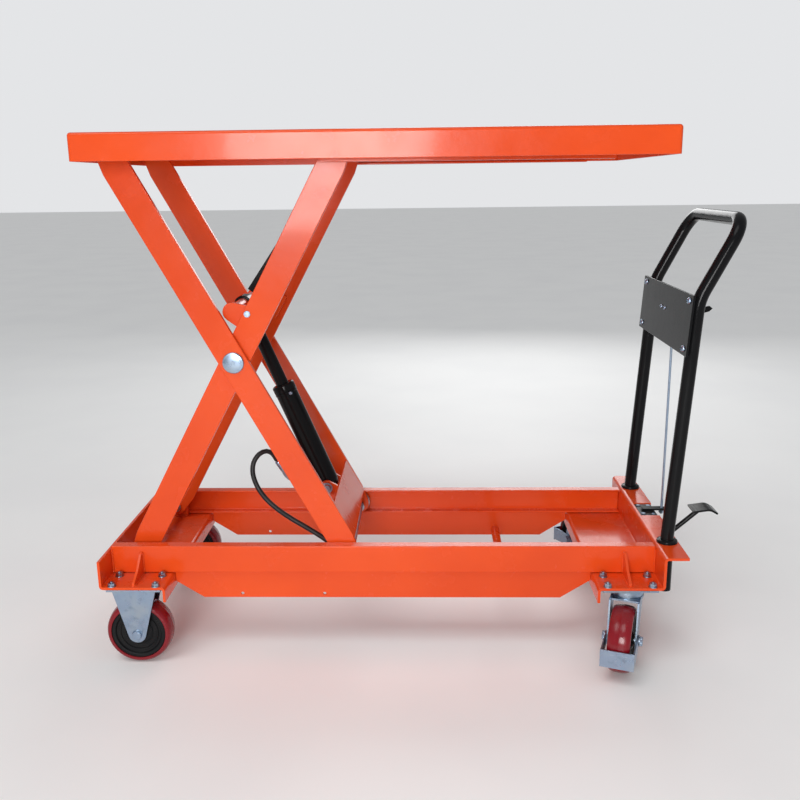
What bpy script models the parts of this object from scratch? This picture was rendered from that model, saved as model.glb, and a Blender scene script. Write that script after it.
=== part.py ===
"""Foot pumped scissor lift table on four casters, modelled raised.

Frame: metres, +Z up, floor at z = 0, +X towards the push handle, the middle plane at y = 0.
Each sub-part is one named object. A moving piece has its origin on its joint's axis.
"""

import math

import bmesh
import bpy
from mathutils import Matrix, Vector

# ---------------------------------------------------------------- driving dimensions
OVERALL_HALF_LENGTH = 0.617
SHEET = 0.005
GAP = 0.0003

PLATFORM_LENGTH = 1.016
PLATFORM_WIDTH = 0.510
PLATFORM_TOP = 0.990
PLATFORM_SKIN = 0.004
PLATFORM_LIP = 0.003
PLATFORM_DEPTH = 0.047
PLATFORM_LEFT = -0.5893

LEG_LENGTH = 0.880
LEG_HALF_WIDTH = 0.026
LEG_END_RADIUS = 0.020
LEG_TAPER = 0.035
LEG_THICKNESS = 0.010
INNER_LEG_Y = 0.128
OUTER_LEG_Y = 0.141
PIVOT_LEFT_X = -0.565
PIVOT_LOW_Z = 0.1905
PIVOT_HIGH_Z = 0.9647
SHAFT_RADIUS = 0.008
BORE_CLEARANCE = 0.0003

RAIL_OUTER_Y = 0.171
RAIL_FLANGE = 0.022
RAIL_BOTTOM = 0.164
RAIL_TOP = 0.2185
RAIL_WALL = 0.004
SKIRT_Y = 0.160
SKIRT_BOTTOM = 0.107
CROSS_TUBE_X = 0.1628
CROSS_TUBE_Z = 0.1195
CROSS_TUBE_RADIUS = 0.0095

PLATE_HALF_WIDTH = 0.237
PLATE_MID_Z = 0.160
LEFT_FLANGE_TOP = 0.2145
LEFT_LIP_X = -0.4938
RIGHT_LIP_X = 0.3272
LIP_BOTTOM = 0.1325
WEB_X = 0.4477
TOP_FLANGE_Z = 0.2201
TOP_FLANGE_END_X = 0.4907
BEND_RADIUS = 0.005

CASTER_Y = 0.207
FIXED_CASTER_X = -0.5526
SWIVEL_CASTER_X = 0.386
SWIVEL_TURN = 20.0
SWIVEL_TRAIL = 0.038
WHEEL_RADIUS = 0.0635
WHEEL_HALF_WIDTH = 0.021
HUB_RADIUS = 0.0525
AXLE_RADIUS = 0.006
MOUNT_PLATE_TOP = 0.1572
STUD_SPACING_X = 0.084
STUD_SPACING_Y = 0.045
STUD_RADIUS = 0.004

HANDLE_RADIUS = 0.0125
HANDLE_Y = 0.158
HANDLE_FOOT_X = 0.469
HANDLE_FOOT_Z = 0.124
HANDLE_LEAN_Z = 0.236
HANDLE_BEND = (0.4985, 0.690)
HANDLE_TOP = (0.5707, 0.832)
PANEL_HALF_WIDTH = 0.180
PANEL_LOW_Z = 0.588
PANEL_HIGH_Z = 0.700

CYLINDER_FOOT = 0.113
CYLINDER_HEAD = (0.0802, 0.0460)
BARREL_LENGTH = 0.232
BARREL_RADIUS = 0.0225
ROD_RADIUS = 0.013

PUMP_Y = 0.018
PEDAL_PIVOT = (0.4965, 0.1437)
PEDAL_SLOPE = 42.0
ROD_LINE_X = 0.5035
ROD_LINE_Y = 0.0175
LEVER_PIVOT = (0.520, 0.641)
VALVE_PIVOT = (0.468, 0.2247)

# ---------------------------------------------------------------- derived places
RISE = PIVOT_HIGH_Z - PIVOT_LOW_Z
LEG_ANGLE = math.asin(RISE / LEG_LENGTH)
PIVOT_RIGHT_X = PIVOT_LEFT_X + LEG_LENGTH * math.cos(LEG_ANGLE)
CENTRE = Vector(((PIVOT_LEFT_X + PIVOT_RIGHT_X) / 2, 0, (PIVOT_LOW_Z + PIVOT_HIGH_Z) / 2))
PLATFORM_RIGHT = PLATFORM_LEFT + PLATFORM_LENGTH

FINISHES = {
    "paint": ((0.80, 0.10, 0.03), 0.30, 0.0),
    "paint_black": ((0.015, 0.015, 0.017), 0.30, 0.0),
    "zinc": ((0.62, 0.63, 0.66), 0.35, 1.0),
    "steel": ((0.50, 0.50, 0.52), 0.30, 1.0),
    "urethane": ((0.35, 0.02, 0.03), 0.40, 0.0),
    "nylon_black": ((0.02, 0.02, 0.02), 0.50, 0.0),
    "rubber": ((0.02, 0.02, 0.02), 0.70, 0.0),
}

# Each plane turns an outline's own x and y into the two named world directions.
PLANE_XZ = Matrix.Rotation(math.radians(90), 4, "X")
PLANE_YZ = Matrix(((0, 0, 1, 0), (1, 0, 0, 0), (0, 1, 0, 0), (0, 0, 0, 1)))
PLANE_XY = Matrix.Identity(4)
ALONG_Y = Matrix.Rotation(math.radians(-90), 4, "X")
ALONG_X = Matrix.Rotation(math.radians(90), 4, "Y")


def clear_scene():
    """Removes every object of the open scene."""
    for old in list(bpy.data.objects):
        bpy.data.objects.remove(old, do_unlink=True)


def new_collection(name):
    """Adds a collection under the scene's own."""
    made = bpy.data.collections.new(name)
    bpy.context.scene.collection.children.link(made)
    return made


def finish(name, part_name):
    """Makes the part's own Principled material from a named finish."""
    colour, roughness, metallic = FINISHES[name]
    made = bpy.data.materials.new(part_name)
    made.use_nodes = True
    shader = made.node_tree.nodes["Principled BSDF"]
    shader.inputs["Base Color"].default_value = (*colour, 1)
    shader.inputs["Roughness"].default_value = roughness
    shader.inputs["Metallic"].default_value = metallic
    return made


def place(name, data, look, matrix=PLANE_XY):
    """Links a new part with its data, its finish and its place."""
    part = bpy.data.objects.new(name, data)
    data.materials.append(finish(look, name))
    PARTS.objects.link(part)
    part.matrix_world = matrix
    return part


def at(x, y, z):
    """A translation."""
    return Matrix.Translation((x, y, z))


def filleted(points, radii, steps=4):
    """Rounds the inner corners of a path, each with its own radius, and returns the new points."""
    path = [Vector(p) for p in points]
    made = [path[0]]
    for before, corner, after, radius in zip(path, path[1:], path[2:], radii):
        back = (before - corner).normalized()
        on = (after - corner).normalized()
        half = back.angle(on) / 2
        reach = radius / math.tan(half)
        middle = corner + (back + on).normalized() * (radius / math.sin(half))
        start = corner + back * reach - middle
        end = corner + on * reach - middle
        for step in range(steps + 1):
            made.append(middle + start.slerp(end, step / steps).normalized() * radius)
    made.append(path[-1])
    return made


def strip(points, thickness):
    """The closed outline of a bent sheet whose middle line is the given flat path."""
    left = []
    right = []
    for index, point in enumerate(points):
        ahead = points[min(index + 1, len(points) - 1)] - points[max(index - 1, 0)]
        side = Vector((-ahead.y, ahead.x, 0)).normalized() * (thickness / 2)
        left.append(point + side)
        right.append(point - side)
    return left + right[::-1]


def arc(middle, radius, first, last, steps):
    """Points on an arc about a flat middle point, angles in degrees."""
    angles = [math.radians(first + (last - first) * step / steps) for step in range(steps + 1)]
    return [(middle[0] + radius * math.cos(a), middle[1] + radius * math.sin(a)) for a in angles]


def flat(name, outline, thickness, look, plane, middle=(0, 0, 0), tilt=0.0, holes=()):
    """A flat piece: an outline with round holes, pushed out to its thickness about its middle."""
    curve = bpy.data.curves.new(name, "CURVE")
    curve.dimensions = "2D"
    curve.fill_mode = "BOTH"
    curve.extrude = thickness / 2
    loops = [[tuple(p)[:2] for p in outline]]
    for x, y, radius in holes:
        loops.append(arc((x, y), radius / math.cos(math.pi / 12), 0, 330, 11))
    for loop in loops:
        spline = curve.splines.new("POLY")
        spline.points.add(len(loop) - 1)
        spline.use_cyclic_u = True
        for point, (x, y) in zip(spline.points, loop):
            point.co = (x, y, 0, 1)
    turn = Matrix.Rotation(tilt, 4, "Y")
    return place(name, curve, look, at(*middle) @ turn @ plane)


def meshed(part):
    """Turns a curve part into a closed mesh part of the same name and place."""
    graph = bpy.context.evaluated_depsgraph_get()
    name = part.name
    matrix = part.matrix_world.copy()
    mesh = bpy.data.meshes.new_from_object(part.evaluated_get(graph))
    shape = bmesh.new()
    shape.from_mesh(mesh)
    bmesh.ops.remove_doubles(shape, verts=shape.verts, dist=1e-6)
    shape.to_mesh(mesh)
    shape.free()
    bpy.data.objects.remove(part, do_unlink=True)
    made = bpy.data.objects.new(name, mesh)
    PARTS.objects.link(made)
    made.matrix_world = matrix
    return made


def box(name, low, high, look, matrix=PLANE_XY):
    """A block between two corners."""
    shape = bmesh.new()
    bmesh.ops.create_cube(shape, size=1)
    size = Vector(high) - Vector(low)
    bmesh.ops.scale(shape, vec=size, verts=shape.verts)
    bmesh.ops.translate(shape, vec=Vector(low) + size / 2, verts=shape.verts)
    mesh = bpy.data.meshes.new(name)
    shape.to_mesh(mesh)
    shape.free()
    return place(name, mesh, look, matrix)


def round_bar(name, start, end, radius, look, sides=20, matrix=PLANE_XY):
    """A round bar, or with six sides a hexagon, from one end point to the other."""
    first, last = Vector(start), Vector(end)
    along = last - first
    shape = bmesh.new()
    bmesh.ops.create_cone(
        shape, cap_ends=True, segments=sides, radius1=radius, radius2=radius, depth=along.length
    )
    mesh = bpy.data.meshes.new(name)
    shape.to_mesh(mesh)
    shape.free()
    mesh.shade_smooth()
    mesh.set_sharp_from_angle(angle=math.radians(40))
    turn = along.to_track_quat("Z", "Y").to_matrix().to_4x4()
    return place(name, mesh, look, matrix @ at(*(first + along / 2)) @ turn)


def turned(name, profile, look, matrix, steps=24, closed=True):
    """A turned piece from a profile of (radius, height) points, outer side running down."""
    mesh = bpy.data.meshes.new(name)
    count = len(profile)
    edges = [(i, i + 1) for i in range(count - 1)]
    if closed:
        edges.append((count - 1, 0))
    mesh.from_pydata([(r, 0, z) for r, z in profile], edges, [])
    part = place(name, mesh, look, matrix)
    screw = part.modifiers.new("Turn", "SCREW")
    screw.axis = "Z"
    screw.steps = steps
    screw.render_steps = steps
    screw.use_merge_vertices = True
    screw.merge_threshold = 1e-5
    screw.use_smooth_shade = True
    return part


def tube(name, points, radius, look, resolution=2):
    """A round tube along a list of points."""
    curve = bpy.data.curves.new(name, "CURVE")
    curve.dimensions = "3D"
    curve.bevel_depth = radius
    curve.bevel_resolution = resolution
    curve.use_fill_caps = True
    spline = curve.splines.new("POLY")
    spline.points.add(len(points) - 1)
    for made, point in zip(spline.points, points):
        made.co = (*point, 1)
    spline.use_smooth = True
    return place(name, curve, look)


def smooth_route(points, spacing):
    """Points at about the given spacing on a smooth curve through the route's own points."""
    route = [Vector(p) for p in points]
    route = [route[0] * 2 - route[1]] + route + [route[-1] * 2 - route[-2]]
    made = []
    for a, b, c, d in zip(route, route[1:], route[2:], route[3:]):
        steps = max(1, round((c - b).length / spacing))
        for step in range(steps):
            t = step / steps
            made.append(
                (2 * b + (c - a) * t + (2 * a - 5 * b + 4 * c - d) * t**2
                 + (3 * b - a - 3 * c + d) * t**3) / 2
            )
    made.append(route[-2])
    return made


def as_tool(part):
    """Moves a part to the cutters, where only booleans use it."""
    PARTS.objects.unlink(part)
    CUTTERS.objects.link(part)
    part.hide_render = True
    part.display_type = "WIRE"


def change(base, tools, operation):
    """Adds an exact boolean with each tool to a part."""
    for tool in tools:
        as_tool(tool)
        step = base.modifiers.new(operation.lower(), "BOOLEAN")
        step.operation = operation
        step.solver = "EXACT"
        step.object = tool
    return base


def join(base, *tools):
    """Welds the tools to a part."""
    return change(base, tools, "UNION")


def cut(base, *tools):
    """Takes the tools out of a part."""
    return change(base, tools, "DIFFERENCE")


def sides():
    """The near and the far side of the table: name and sign of y."""
    return (("near", -1), ("far", 1))


# ---------------------------------------------------------------- base frame
def stud_places(x):
    """The four stud centres of a caster, measured from its middle, for both casters at x."""
    for side in (-1, 1):
        for along in (-1, 1):
            for across in (-1, 1):
                yield x + along * STUD_SPACING_X / 2, side * CASTER_Y + across * STUD_SPACING_Y / 2


def end_plate(name, path, caster_x, extra_cuts):
    """A bent cross plate with stud holes and a gusset over each caster."""
    bends = [BEND_RADIUS] * (len(path) - 2)
    outline = strip(filleted([(x, z, 0) for x, z in path], bends), SHEET)
    plate = meshed(flat(name, outline, 2 * PLATE_HALF_WIDTH, "paint", PLANE_XZ))
    gussets = []
    inner = RAIL_OUTER_Y + GAP
    for side, sign in sides():
        edge = [
            (sign * inner, PLATE_MID_Z),
            (sign * inner, RAIL_TOP - 0.010),
            (sign * (inner + 0.010), RAIL_TOP - 0.013),
            (sign * (inner + 0.034), RAIL_TOP - 0.036),
            (sign * (PLATE_HALF_WIDTH - 0.005), PLATE_MID_Z + 0.009),
            (sign * (PLATE_HALF_WIDTH - 0.005), PLATE_MID_Z),
        ]
        gussets.append(meshed(flat(f"{name}_gusset_{side}", edge, SHEET, "paint", PLANE_YZ,
                                   (caster_x, 0, 0))))
    join(plate, *gussets)
    holes = [
        round_bar(f"{name}_hole", (x, y, PLATE_MID_Z - 0.01), (x, y, PLATE_MID_Z + 0.0035),
                  STUD_RADIUS + GAP, "paint", 8)
        for x, y in stud_places(caster_x)
    ]
    return cut(plate, *holes, *extra_cuts)


def build_base():
    """Rails, skirts, end plates, cross tube and the lugs that hold the fixed lower pivots."""
    left = -OVERALL_HALF_LENGTH + SHEET + GAP
    right = WEB_X - SHEET / 2 - GAP
    lip_left = LEFT_LIP_X + SHEET / 2 + GAP
    lip_right = RIGHT_LIP_X - SHEET / 2 - GAP
    lug_radius = 0.021
    for side, sign in sides():
        outer = sign * RAIL_OUTER_Y
        web = sign * (RAIL_OUTER_Y - RAIL_WALL)
        lip = sign * (RAIL_OUTER_Y - RAIL_FLANGE)
        channel = [
            (outer, RAIL_BOTTOM), (lip, RAIL_BOTTOM), (lip, RAIL_BOTTOM + RAIL_WALL),
            (web, RAIL_BOTTOM + RAIL_WALL), (web, RAIL_TOP - RAIL_WALL),
            (lip, RAIL_TOP - RAIL_WALL), (lip, RAIL_TOP), (outer, RAIL_TOP),
        ]
        flat(f"rail_{side}", channel, right - left, "paint", PLANE_YZ, ((left + right) / 2, 0, 0))
        skirt = [
            (lip_left, RAIL_BOTTOM - GAP), (lip_left, 0.142), (-0.4366, SKIRT_BOTTOM),
            (0.2662, SKIRT_BOTTOM), (lip_right, 0.144), (lip_right, RAIL_BOTTOM - GAP),
        ]
        holes = [(-0.3598, SKIRT_BOTTOM + 0.008, 0.0032), (-0.1968, SKIRT_BOTTOM + 0.008, 0.0032)]
        flat(f"skirt_{side}", skirt, SHEET, "paint", PLANE_XZ, (0, sign * SKIRT_Y, 0), holes=holes)
        foot = PLATE_MID_Z + SHEET / 2 + GAP - PIVOT_LOW_Z
        lug = [(-lug_radius, foot), (lug_radius, foot)] + arc((0, 0), lug_radius, 0, 180, 10)
        bore = [(0, 0, SHAFT_RADIUS + BORE_CLEARANCE)]
        flat(f"pivot_lug_{side}", lug, LEG_THICKNESS, "paint", PLANE_XZ,
             (PIVOT_LEFT_X, sign * OUTER_LEG_Y, PIVOT_LOW_Z), holes=bore)
    reach = SKIRT_Y - SHEET / 2 - GAP
    round_bar("skirt_cross_tube", (CROSS_TUBE_X, -reach, CROSS_TUBE_Z),
              (CROSS_TUBE_X, reach, CROSS_TUBE_Z), CROSS_TUBE_RADIUS, "paint")
    left_path = [
        (-OVERALL_HALF_LENGTH + SHEET / 2, LEFT_FLANGE_TOP),
        (-OVERALL_HALF_LENGTH + SHEET / 2, PLATE_MID_Z),
        (LEFT_LIP_X, PLATE_MID_Z),
        (LEFT_LIP_X, LIP_BOTTOM),
    ]
    end_plate("fixed_end_plate", left_path, FIXED_CASTER_X, [])
    right_path = [
        (RIGHT_LIP_X, LIP_BOTTOM),
        (RIGHT_LIP_X, PLATE_MID_Z),
        (WEB_X, PLATE_MID_Z),
        (WEB_X, TOP_FLANGE_Z),
        (TOP_FLANGE_END_X, TOP_FLANGE_Z),
    ]
    notch = box("notch", (0.4525, PUMP_Y - 0.036, 0.210), (0.500, PUMP_Y + 0.036, 0.235), "paint")
    tube_holes = [
        round_bar("tube_hole", (HANDLE_FOOT_X, s * HANDLE_Y, 0.21), (HANDLE_FOOT_X, s * HANDLE_Y, 0.23),
                  HANDLE_RADIUS + 2 * GAP, "paint")
        for s in (-1, 1)
    ]
    end_plate("handle_end_plate", right_path, SWIVEL_CASTER_X, [notch, *tube_holes])


# ---------------------------------------------------------------- handle, panel and controls
def build_handle():
    """The bent push handle with its foot collars, the panel, the hand lever and the release rod."""
    top_x, top_z = HANDLE_TOP
    bend_x, bend_z = HANDLE_BEND
    path = [
        (HANDLE_FOOT_X, -HANDLE_Y, HANDLE_FOOT_Z), (HANDLE_FOOT_X, -HANDLE_Y, HANDLE_LEAN_Z),
        (bend_x, -HANDLE_Y, bend_z), (top_x, -HANDLE_Y, top_z), (top_x, HANDLE_Y, top_z),
        (bend_x, HANDLE_Y, bend_z), (HANDLE_FOOT_X, HANDLE_Y, HANDLE_LEAN_Z),
        (HANDLE_FOOT_X, HANDLE_Y, HANDLE_FOOT_Z),
    ]
    handle = meshed(tube("push_handle", filleted(path, [0.03, 0.10, 0.045, 0.045, 0.10, 0.03], 3),
                         HANDLE_RADIUS, "paint_black", 4))
    seat = TOP_FLANGE_Z + SHEET / 2 + GAP
    collar = [(0, 0.0065), (0.016, 0.0065), (0.020, 0.004), (0.020, 0), (0, 0)]
    collars = [
        turned("collar", collar, "paint_black", at(HANDLE_FOOT_X, s * HANDLE_Y, seat), closed=False)
        for s in (-1, 1)
    ]
    join(handle, *collars)
    lean = math.atan2(bend_x - HANDLE_FOOT_X, bend_z - HANDLE_LEAN_Z)
    middle_z = (PANEL_LOW_Z + PANEL_HIGH_Z) / 2
    tube_x = HANDLE_FOOT_X + (middle_z - HANDLE_LEAN_Z) * math.tan(lean)
    thickness = 0.004
    half = (PANEL_HIGH_Z - PANEL_LOW_Z) / 2
    offset = HANDLE_RADIUS + thickness / 2 + GAP
    panel_frame = at(tube_x, 0, middle_z) @ Matrix.Rotation(lean, 4, "Y") @ at(-offset, 0, 0)
    panel = box("control_panel", (-thickness / 2, -PANEL_HALF_WIDTH, -half),
                (thickness / 2, PANEL_HALF_WIDTH, half), "paint_black", panel_frame)
    heads = [
        round_bar("panel_bolt", (-thickness / 2 - 0.003, s * HANDLE_Y, h * (half - 0.012)),
                  (0, s * HANDLE_Y, h * (half - 0.012)), 0.005, "zinc", 12, panel_frame)
        for s in (-1, 1) for h in (-1, 1)
    ]
    back = panel_frame.inverted() @ Vector((LEVER_PIVOT[0], 0, LEVER_PIVOT[1]))
    ear_outline = [(0, back.z - 0.012), (back.x, back.z - 0.008)]
    ear_outline += arc((back.x, back.z), 0.008, -60, 90, 5)
    ear_outline += [(0, back.z + 0.012)]
    lever_y = ROD_LINE_Y - 0.0065
    ears = [
        meshed(flat("lever_ear", ear_outline, 0.003, "paint_black", PLANE_XZ, (0, lever_y + s * 0.013, 0)))
        for s in (-1, 1)
    ]
    for ear in ears:
        ear.matrix_world = panel_frame @ ear.matrix_world
    join(panel, *heads, *ears)
    grip = [
        (-0.021, -0.006), (-0.012, -0.007), (0.010, -0.007), (0.052, 0.004),
        (0.058, 0.010), (0.052, 0.015), (0.010, 0.007), (-0.012, 0.007), (-0.021, 0.006),
    ]
    rod_hole = (ROD_LINE_X - LEVER_PIVOT[0], 0, 0.0042)
    lever = meshed(flat("hand_lever", grip, 0.004, "paint_black", PLANE_XZ,
                        (LEVER_PIVOT[0], lever_y, LEVER_PIVOT[1]), holes=[rod_hole]))
    pin = round_bar("hand_lever_pin", (LEVER_PIVOT[0], lever_y - 0.0112, LEVER_PIVOT[1]),
                    (LEVER_PIVOT[0], lever_y + 0.0112, LEVER_PIVOT[1]), 0.003, "steel", 12)
    join(lever, pin)
    rod_path = [
        (ROD_LINE_X, ROD_LINE_Y, 0.2130), (ROD_LINE_X, ROD_LINE_Y, LEVER_PIVOT[1]),
        (ROD_LINE_X, ROD_LINE_Y - 0.010, LEVER_PIVOT[1]),
    ]
    rod = meshed(tube("release_rod", filleted(rod_path, [0.0035], 3), 0.0025, "zinc", 1))
    nut = round_bar("release_rod_nut", (ROD_LINE_X, ROD_LINE_Y, 0.2155),
                    (ROD_LINE_X, ROD_LINE_Y, 0.2205), 0.006, "zinc", 6)
    join(rod, nut)


def build_pump():
    """The foot pump: body, plunger, pedal and the valve lever that the release rod lifts."""
    wall = WEB_X + SHEET / 2 + GAP
    plunger_x = PEDAL_PIVOT[0] + 0.0215
    body = box("pump_body", (0.4530, PUMP_Y - 0.034, 0.085), (0.4885, PUMP_Y + 0.034, 0.2212), "paint_black")
    spacer = box("pump_spacer", (wall, PUMP_Y - 0.028, 0.1665), (0.4545, PUMP_Y + 0.028, 0.2050),
                 "paint_black")
    barrel = round_bar("pump_barrel", (plunger_x, PUMP_Y, 0.075), (plunger_x, PUMP_Y, 0.130), 0.013, "steel")
    foot = box("pump_foot", (0.480, PUMP_Y - 0.010, 0.080), (plunger_x, PUMP_Y + 0.010, 0.102), "steel")
    port = round_bar("pump_port", (0.4312, 0.008, 0.125), (0.455, 0.008, 0.125), 0.008, "zinc", 12)
    ears = [
        box("pedal_ear", (0.480, PUMP_Y + s * 0.0105 - 0.0025, PEDAL_PIVOT[1] - 0.009),
            (PEDAL_PIVOT[0] + 0.007, PUMP_Y + s * 0.0105 + 0.0025, PEDAL_PIVOT[1] + 0.009), "steel")
        for s in (-1, 1)
    ]
    join(body, spacer, barrel, foot, port, *ears)
    bore = round_bar("plunger_bore", (plunger_x, PUMP_Y, 0.083), (plunger_x, PUMP_Y, 0.135), 0.0068, "steel")
    cut(body, bore)
    round_bar("pump_plunger", (plunger_x, PUMP_Y, 0.113), (plunger_x, PUMP_Y, 0.1500), 0.0062, "zinc")
    slope = math.radians(PEDAL_SLOPE)
    pivot = at(PEDAL_PIVOT[0], PUMP_Y, PEDAL_PIVOT[1])
    arm_end = Vector((0.118 * math.cos(slope), 0, 0.118 * math.sin(slope)))
    pedal = round_bar("pump_pedal", (0, 0, 0), arm_end, 0.0050, "paint_black", 12, pivot)
    eye = round_bar("pedal_eye", (0, -0.0075, 0), (0, 0.0075, 0), 0.0075, "paint_black", 16, pivot)
    tip = OVERALL_HALF_LENGTH - PEDAL_PIVOT[0]
    pad_z = arm_end.z + 0.0015
    pad_path = [
        (tip - 0.052, pad_z - 0.001, 0), (tip - 0.016, pad_z + 0.004, 0), (tip - 0.0006, pad_z - 0.005, 0),
    ]
    pad_outline = strip(filleted(pad_path, [0.02], 3), 0.004)
    shift = max(p.x for p in pad_outline) - tip
    pad_outline = [(p.x - shift, p.y) for p in pad_outline]
    pad = meshed(flat("pedal_pad", pad_outline, 0.044, "paint_black", PLANE_XZ,
                      (PEDAL_PIVOT[0], PUMP_Y, PEDAL_PIVOT[1])))
    join(pedal, eye, pad)
    tongue = [(-0.006, -0.008), (0.036, -0.009)] + arc((0.0355, 0), 0.009, -80, 80, 6) + [(-0.006, 0.008)]
    valve = meshed(flat("valve_lever", tongue, 0.0035, "paint_black", PLANE_XY,
                        (VALVE_PIVOT[0], ROD_LINE_Y, VALVE_PIVOT[1]),
                        holes=[(ROD_LINE_X - VALVE_PIVOT[0], 0, 0.0042)]))
    return valve


# ---------------------------------------------------------------- casters
def wheel(label, frame):
    """A tyre on its hub, turned about the frame's own Y axis."""
    r, w, h = WHEEL_RADIUS, WHEEL_HALF_WIDTH, HUB_RADIUS
    spin = frame @ ALONG_Y
    tread = [
        (h, w), (r - 0.0045, w), (r - 0.001, w - 0.006), (r, 0),
        (r - 0.001, -w + 0.006), (r - 0.0045, -w), (h, -w),
    ]
    turned(f"tyre_{label}", tread, "urethane", spin)
    rim = h - GAP
    bore = AXLE_RADIUS + BORE_CLEARANCE
    core = [
        (bore, w + 0.0015), (0.015, w + 0.0015), (0.018, w - 0.005), (rim, w - 0.001),
        (rim, -w + 0.001), (0.018, -w + 0.005), (0.015, -w - 0.0015), (bore, -w - 0.0015),
    ]
    turned(f"hub_{label}", core, "nylon_black", spin)


def mount_plate(name, x, y):
    """A caster's top plate with its four studs and nuts."""
    low = MOUNT_PLATE_TOP - 0.0035
    plate = box(name, (x - 0.052, y - 0.0305, low), (x + 0.052, y + 0.0305, MOUNT_PLATE_TOP), "zinc")
    nut_seat = PLATE_MID_Z + SHEET / 2 + GAP
    extras = []
    for dx in (-STUD_SPACING_X / 2, STUD_SPACING_X / 2):
        for dy in (-STUD_SPACING_Y / 2, STUD_SPACING_Y / 2):
            spot = (x + dx, y + dy)
            extras.append(round_bar("stud", (*spot, low), (*spot, nut_seat + 0.002), STUD_RADIUS, "zinc", 8))
            extras.append(round_bar("nut", (*spot, nut_seat), (*spot, nut_seat + 0.007), 0.0072, "zinc", 6))
    return plate, extras


def fork_legs(frame, top_z, lean, spread, tip, reach):
    """A fork's two side plates and its axle bolt, which sits at lean along the frame's own -Y."""
    pieces = []
    for s in (-1, 1):
        outline = [(spread[1], top_z), (spread[0], top_z)]
        outline += [(y, z) for y, z in arc((-lean, WHEEL_RADIUS), tip, 195, 345, 8)]
        pieces.append(meshed(flat("fork_leg", outline, 0.003, "zinc", PLANE_YZ, (s * 0.0262, 0, 0))))
    for piece in pieces:
        piece.matrix_world = frame @ piece.matrix_world
    long = reach + 0.003
    axle = round_bar("axle", (-long, -lean, WHEEL_RADIUS), (long, -lean, WHEEL_RADIUS),
                     AXLE_RADIUS, "zinc", 16, frame)
    ends = [
        round_bar("axle_end", (s * reach, -lean, WHEEL_RADIUS), (s * (reach + 0.0055), -lean, WHEEL_RADIUS),
                  0.0095, "zinc", 6, frame)
        for s in (-1, 1)
    ]
    return [*pieces, axle, *ends]


def build_casters():
    """Two fixed casters at the far end from the handle and two swivel casters under the handle."""
    quarter = Matrix.Rotation(math.radians(90), 4, "Z")
    for side, sign in sides():
        x, y = FIXED_CASTER_X, sign * CASTER_Y
        frame = at(x, y, 0) @ quarter
        plate, extras = mount_plate(f"fixed_fork_{side}", x, y)
        legs = fork_legs(frame, MOUNT_PLATE_TOP - 0.002, 0.0, (-0.042, 0.042), 0.017, 0.0277)
        join(plate, *extras, *legs)
        wheel(f"fixed_{side}", at(x, y, WHEEL_RADIUS))
    for side, turn in (("near", -SWIVEL_TURN), ("far", 180 + SWIVEL_TURN)):
        sign = -1 if side == "near" else 1
        x, y = SWIVEL_CASTER_X, sign * CASTER_Y
        frame = at(x, y, 0) @ Matrix.Rotation(math.radians(turn), 4, "Z")
        plate, extras = mount_plate(f"swivel_plate_{side}", x, y)
        race = round_bar("race", (x, y, 0.1415), (x, y, 0.1545), 0.0300, "zinc", 28)
        join(plate, *extras, race)
        crown = round_bar(f"swivel_fork_{side}", (0, 0, 0.1365), (0, 0, 0.1412), 0.0310, "zinc", 28, frame)
        bridge = box("bridge", (-0.0277, -0.034, 0.1365), (0.0277, 0.0, 0.1400), "zinc", frame)
        king = round_bar("king_nut", (0, 0, 0.1305), (0, 0, 0.138), 0.010, "zinc", 6, frame)
        # The bolt's hexagon ends start past the brake's side plates, which turn on the bolt.
        legs = fork_legs(frame, 0.1395, SWIVEL_TRAIL, (-0.040, 0.020), 0.016, 0.0318)
        join(crown, bridge, king, *legs)
        spin = frame @ at(0, -SWIVEL_TRAIL, WHEEL_RADIUS)
        wheel(f"swivel_{side}", spin @ quarter)
        brake(side, frame)


def brake(side, frame):
    """The foot brake that wraps round the front of a swivel wheel and turns about its axle."""
    front = -SWIVEL_TRAIL - WHEEL_RADIUS - 0.003
    low, high = 0.037, 0.071
    bar = box(f"brake_pedal_{side}", (-0.0308, front - 0.003, low), (0.0308, front, high), "zinc",
              frame)
    cheeks = []
    for s in (-1, 1):
        outline = [(front - 0.0015, high - 0.002), (front - 0.0015, low + 0.002)]
        outline += [(front + 0.030, low + 0.006)]
        outline += arc((-SWIVEL_TRAIL, WHEEL_RADIUS), 0.011, 255, 450, 10)
        outline += [(front + 0.030, high + 0.002)]
        bore = [(-SWIVEL_TRAIL, WHEEL_RADIUS, AXLE_RADIUS + 2 * GAP)]
        middle = (s * 0.02955, 0, 0)
        cheek = meshed(flat("brake_cheek", outline, 0.0025, "zinc", PLANE_YZ, middle, holes=bore))
        cheek.matrix_world = frame @ cheek.matrix_world
        cheeks.append(cheek)
    join(bar, *cheeks)


# ---------------------------------------------------------------- scissor
def leg_outline(start, end):
    """A leg's outline along its own x: round ends that widen to the full width."""
    r, h, t = LEG_END_RADIUS, LEG_HALF_WIDTH, LEG_TAPER
    right = arc((end, 0), r, -80, 80, 6)
    left = arc((start, 0), r, 100, 260, 6)
    return [(start + t, -h), (end - t, -h), *right, (end - t, h), (start + t, h), *left]


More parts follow.
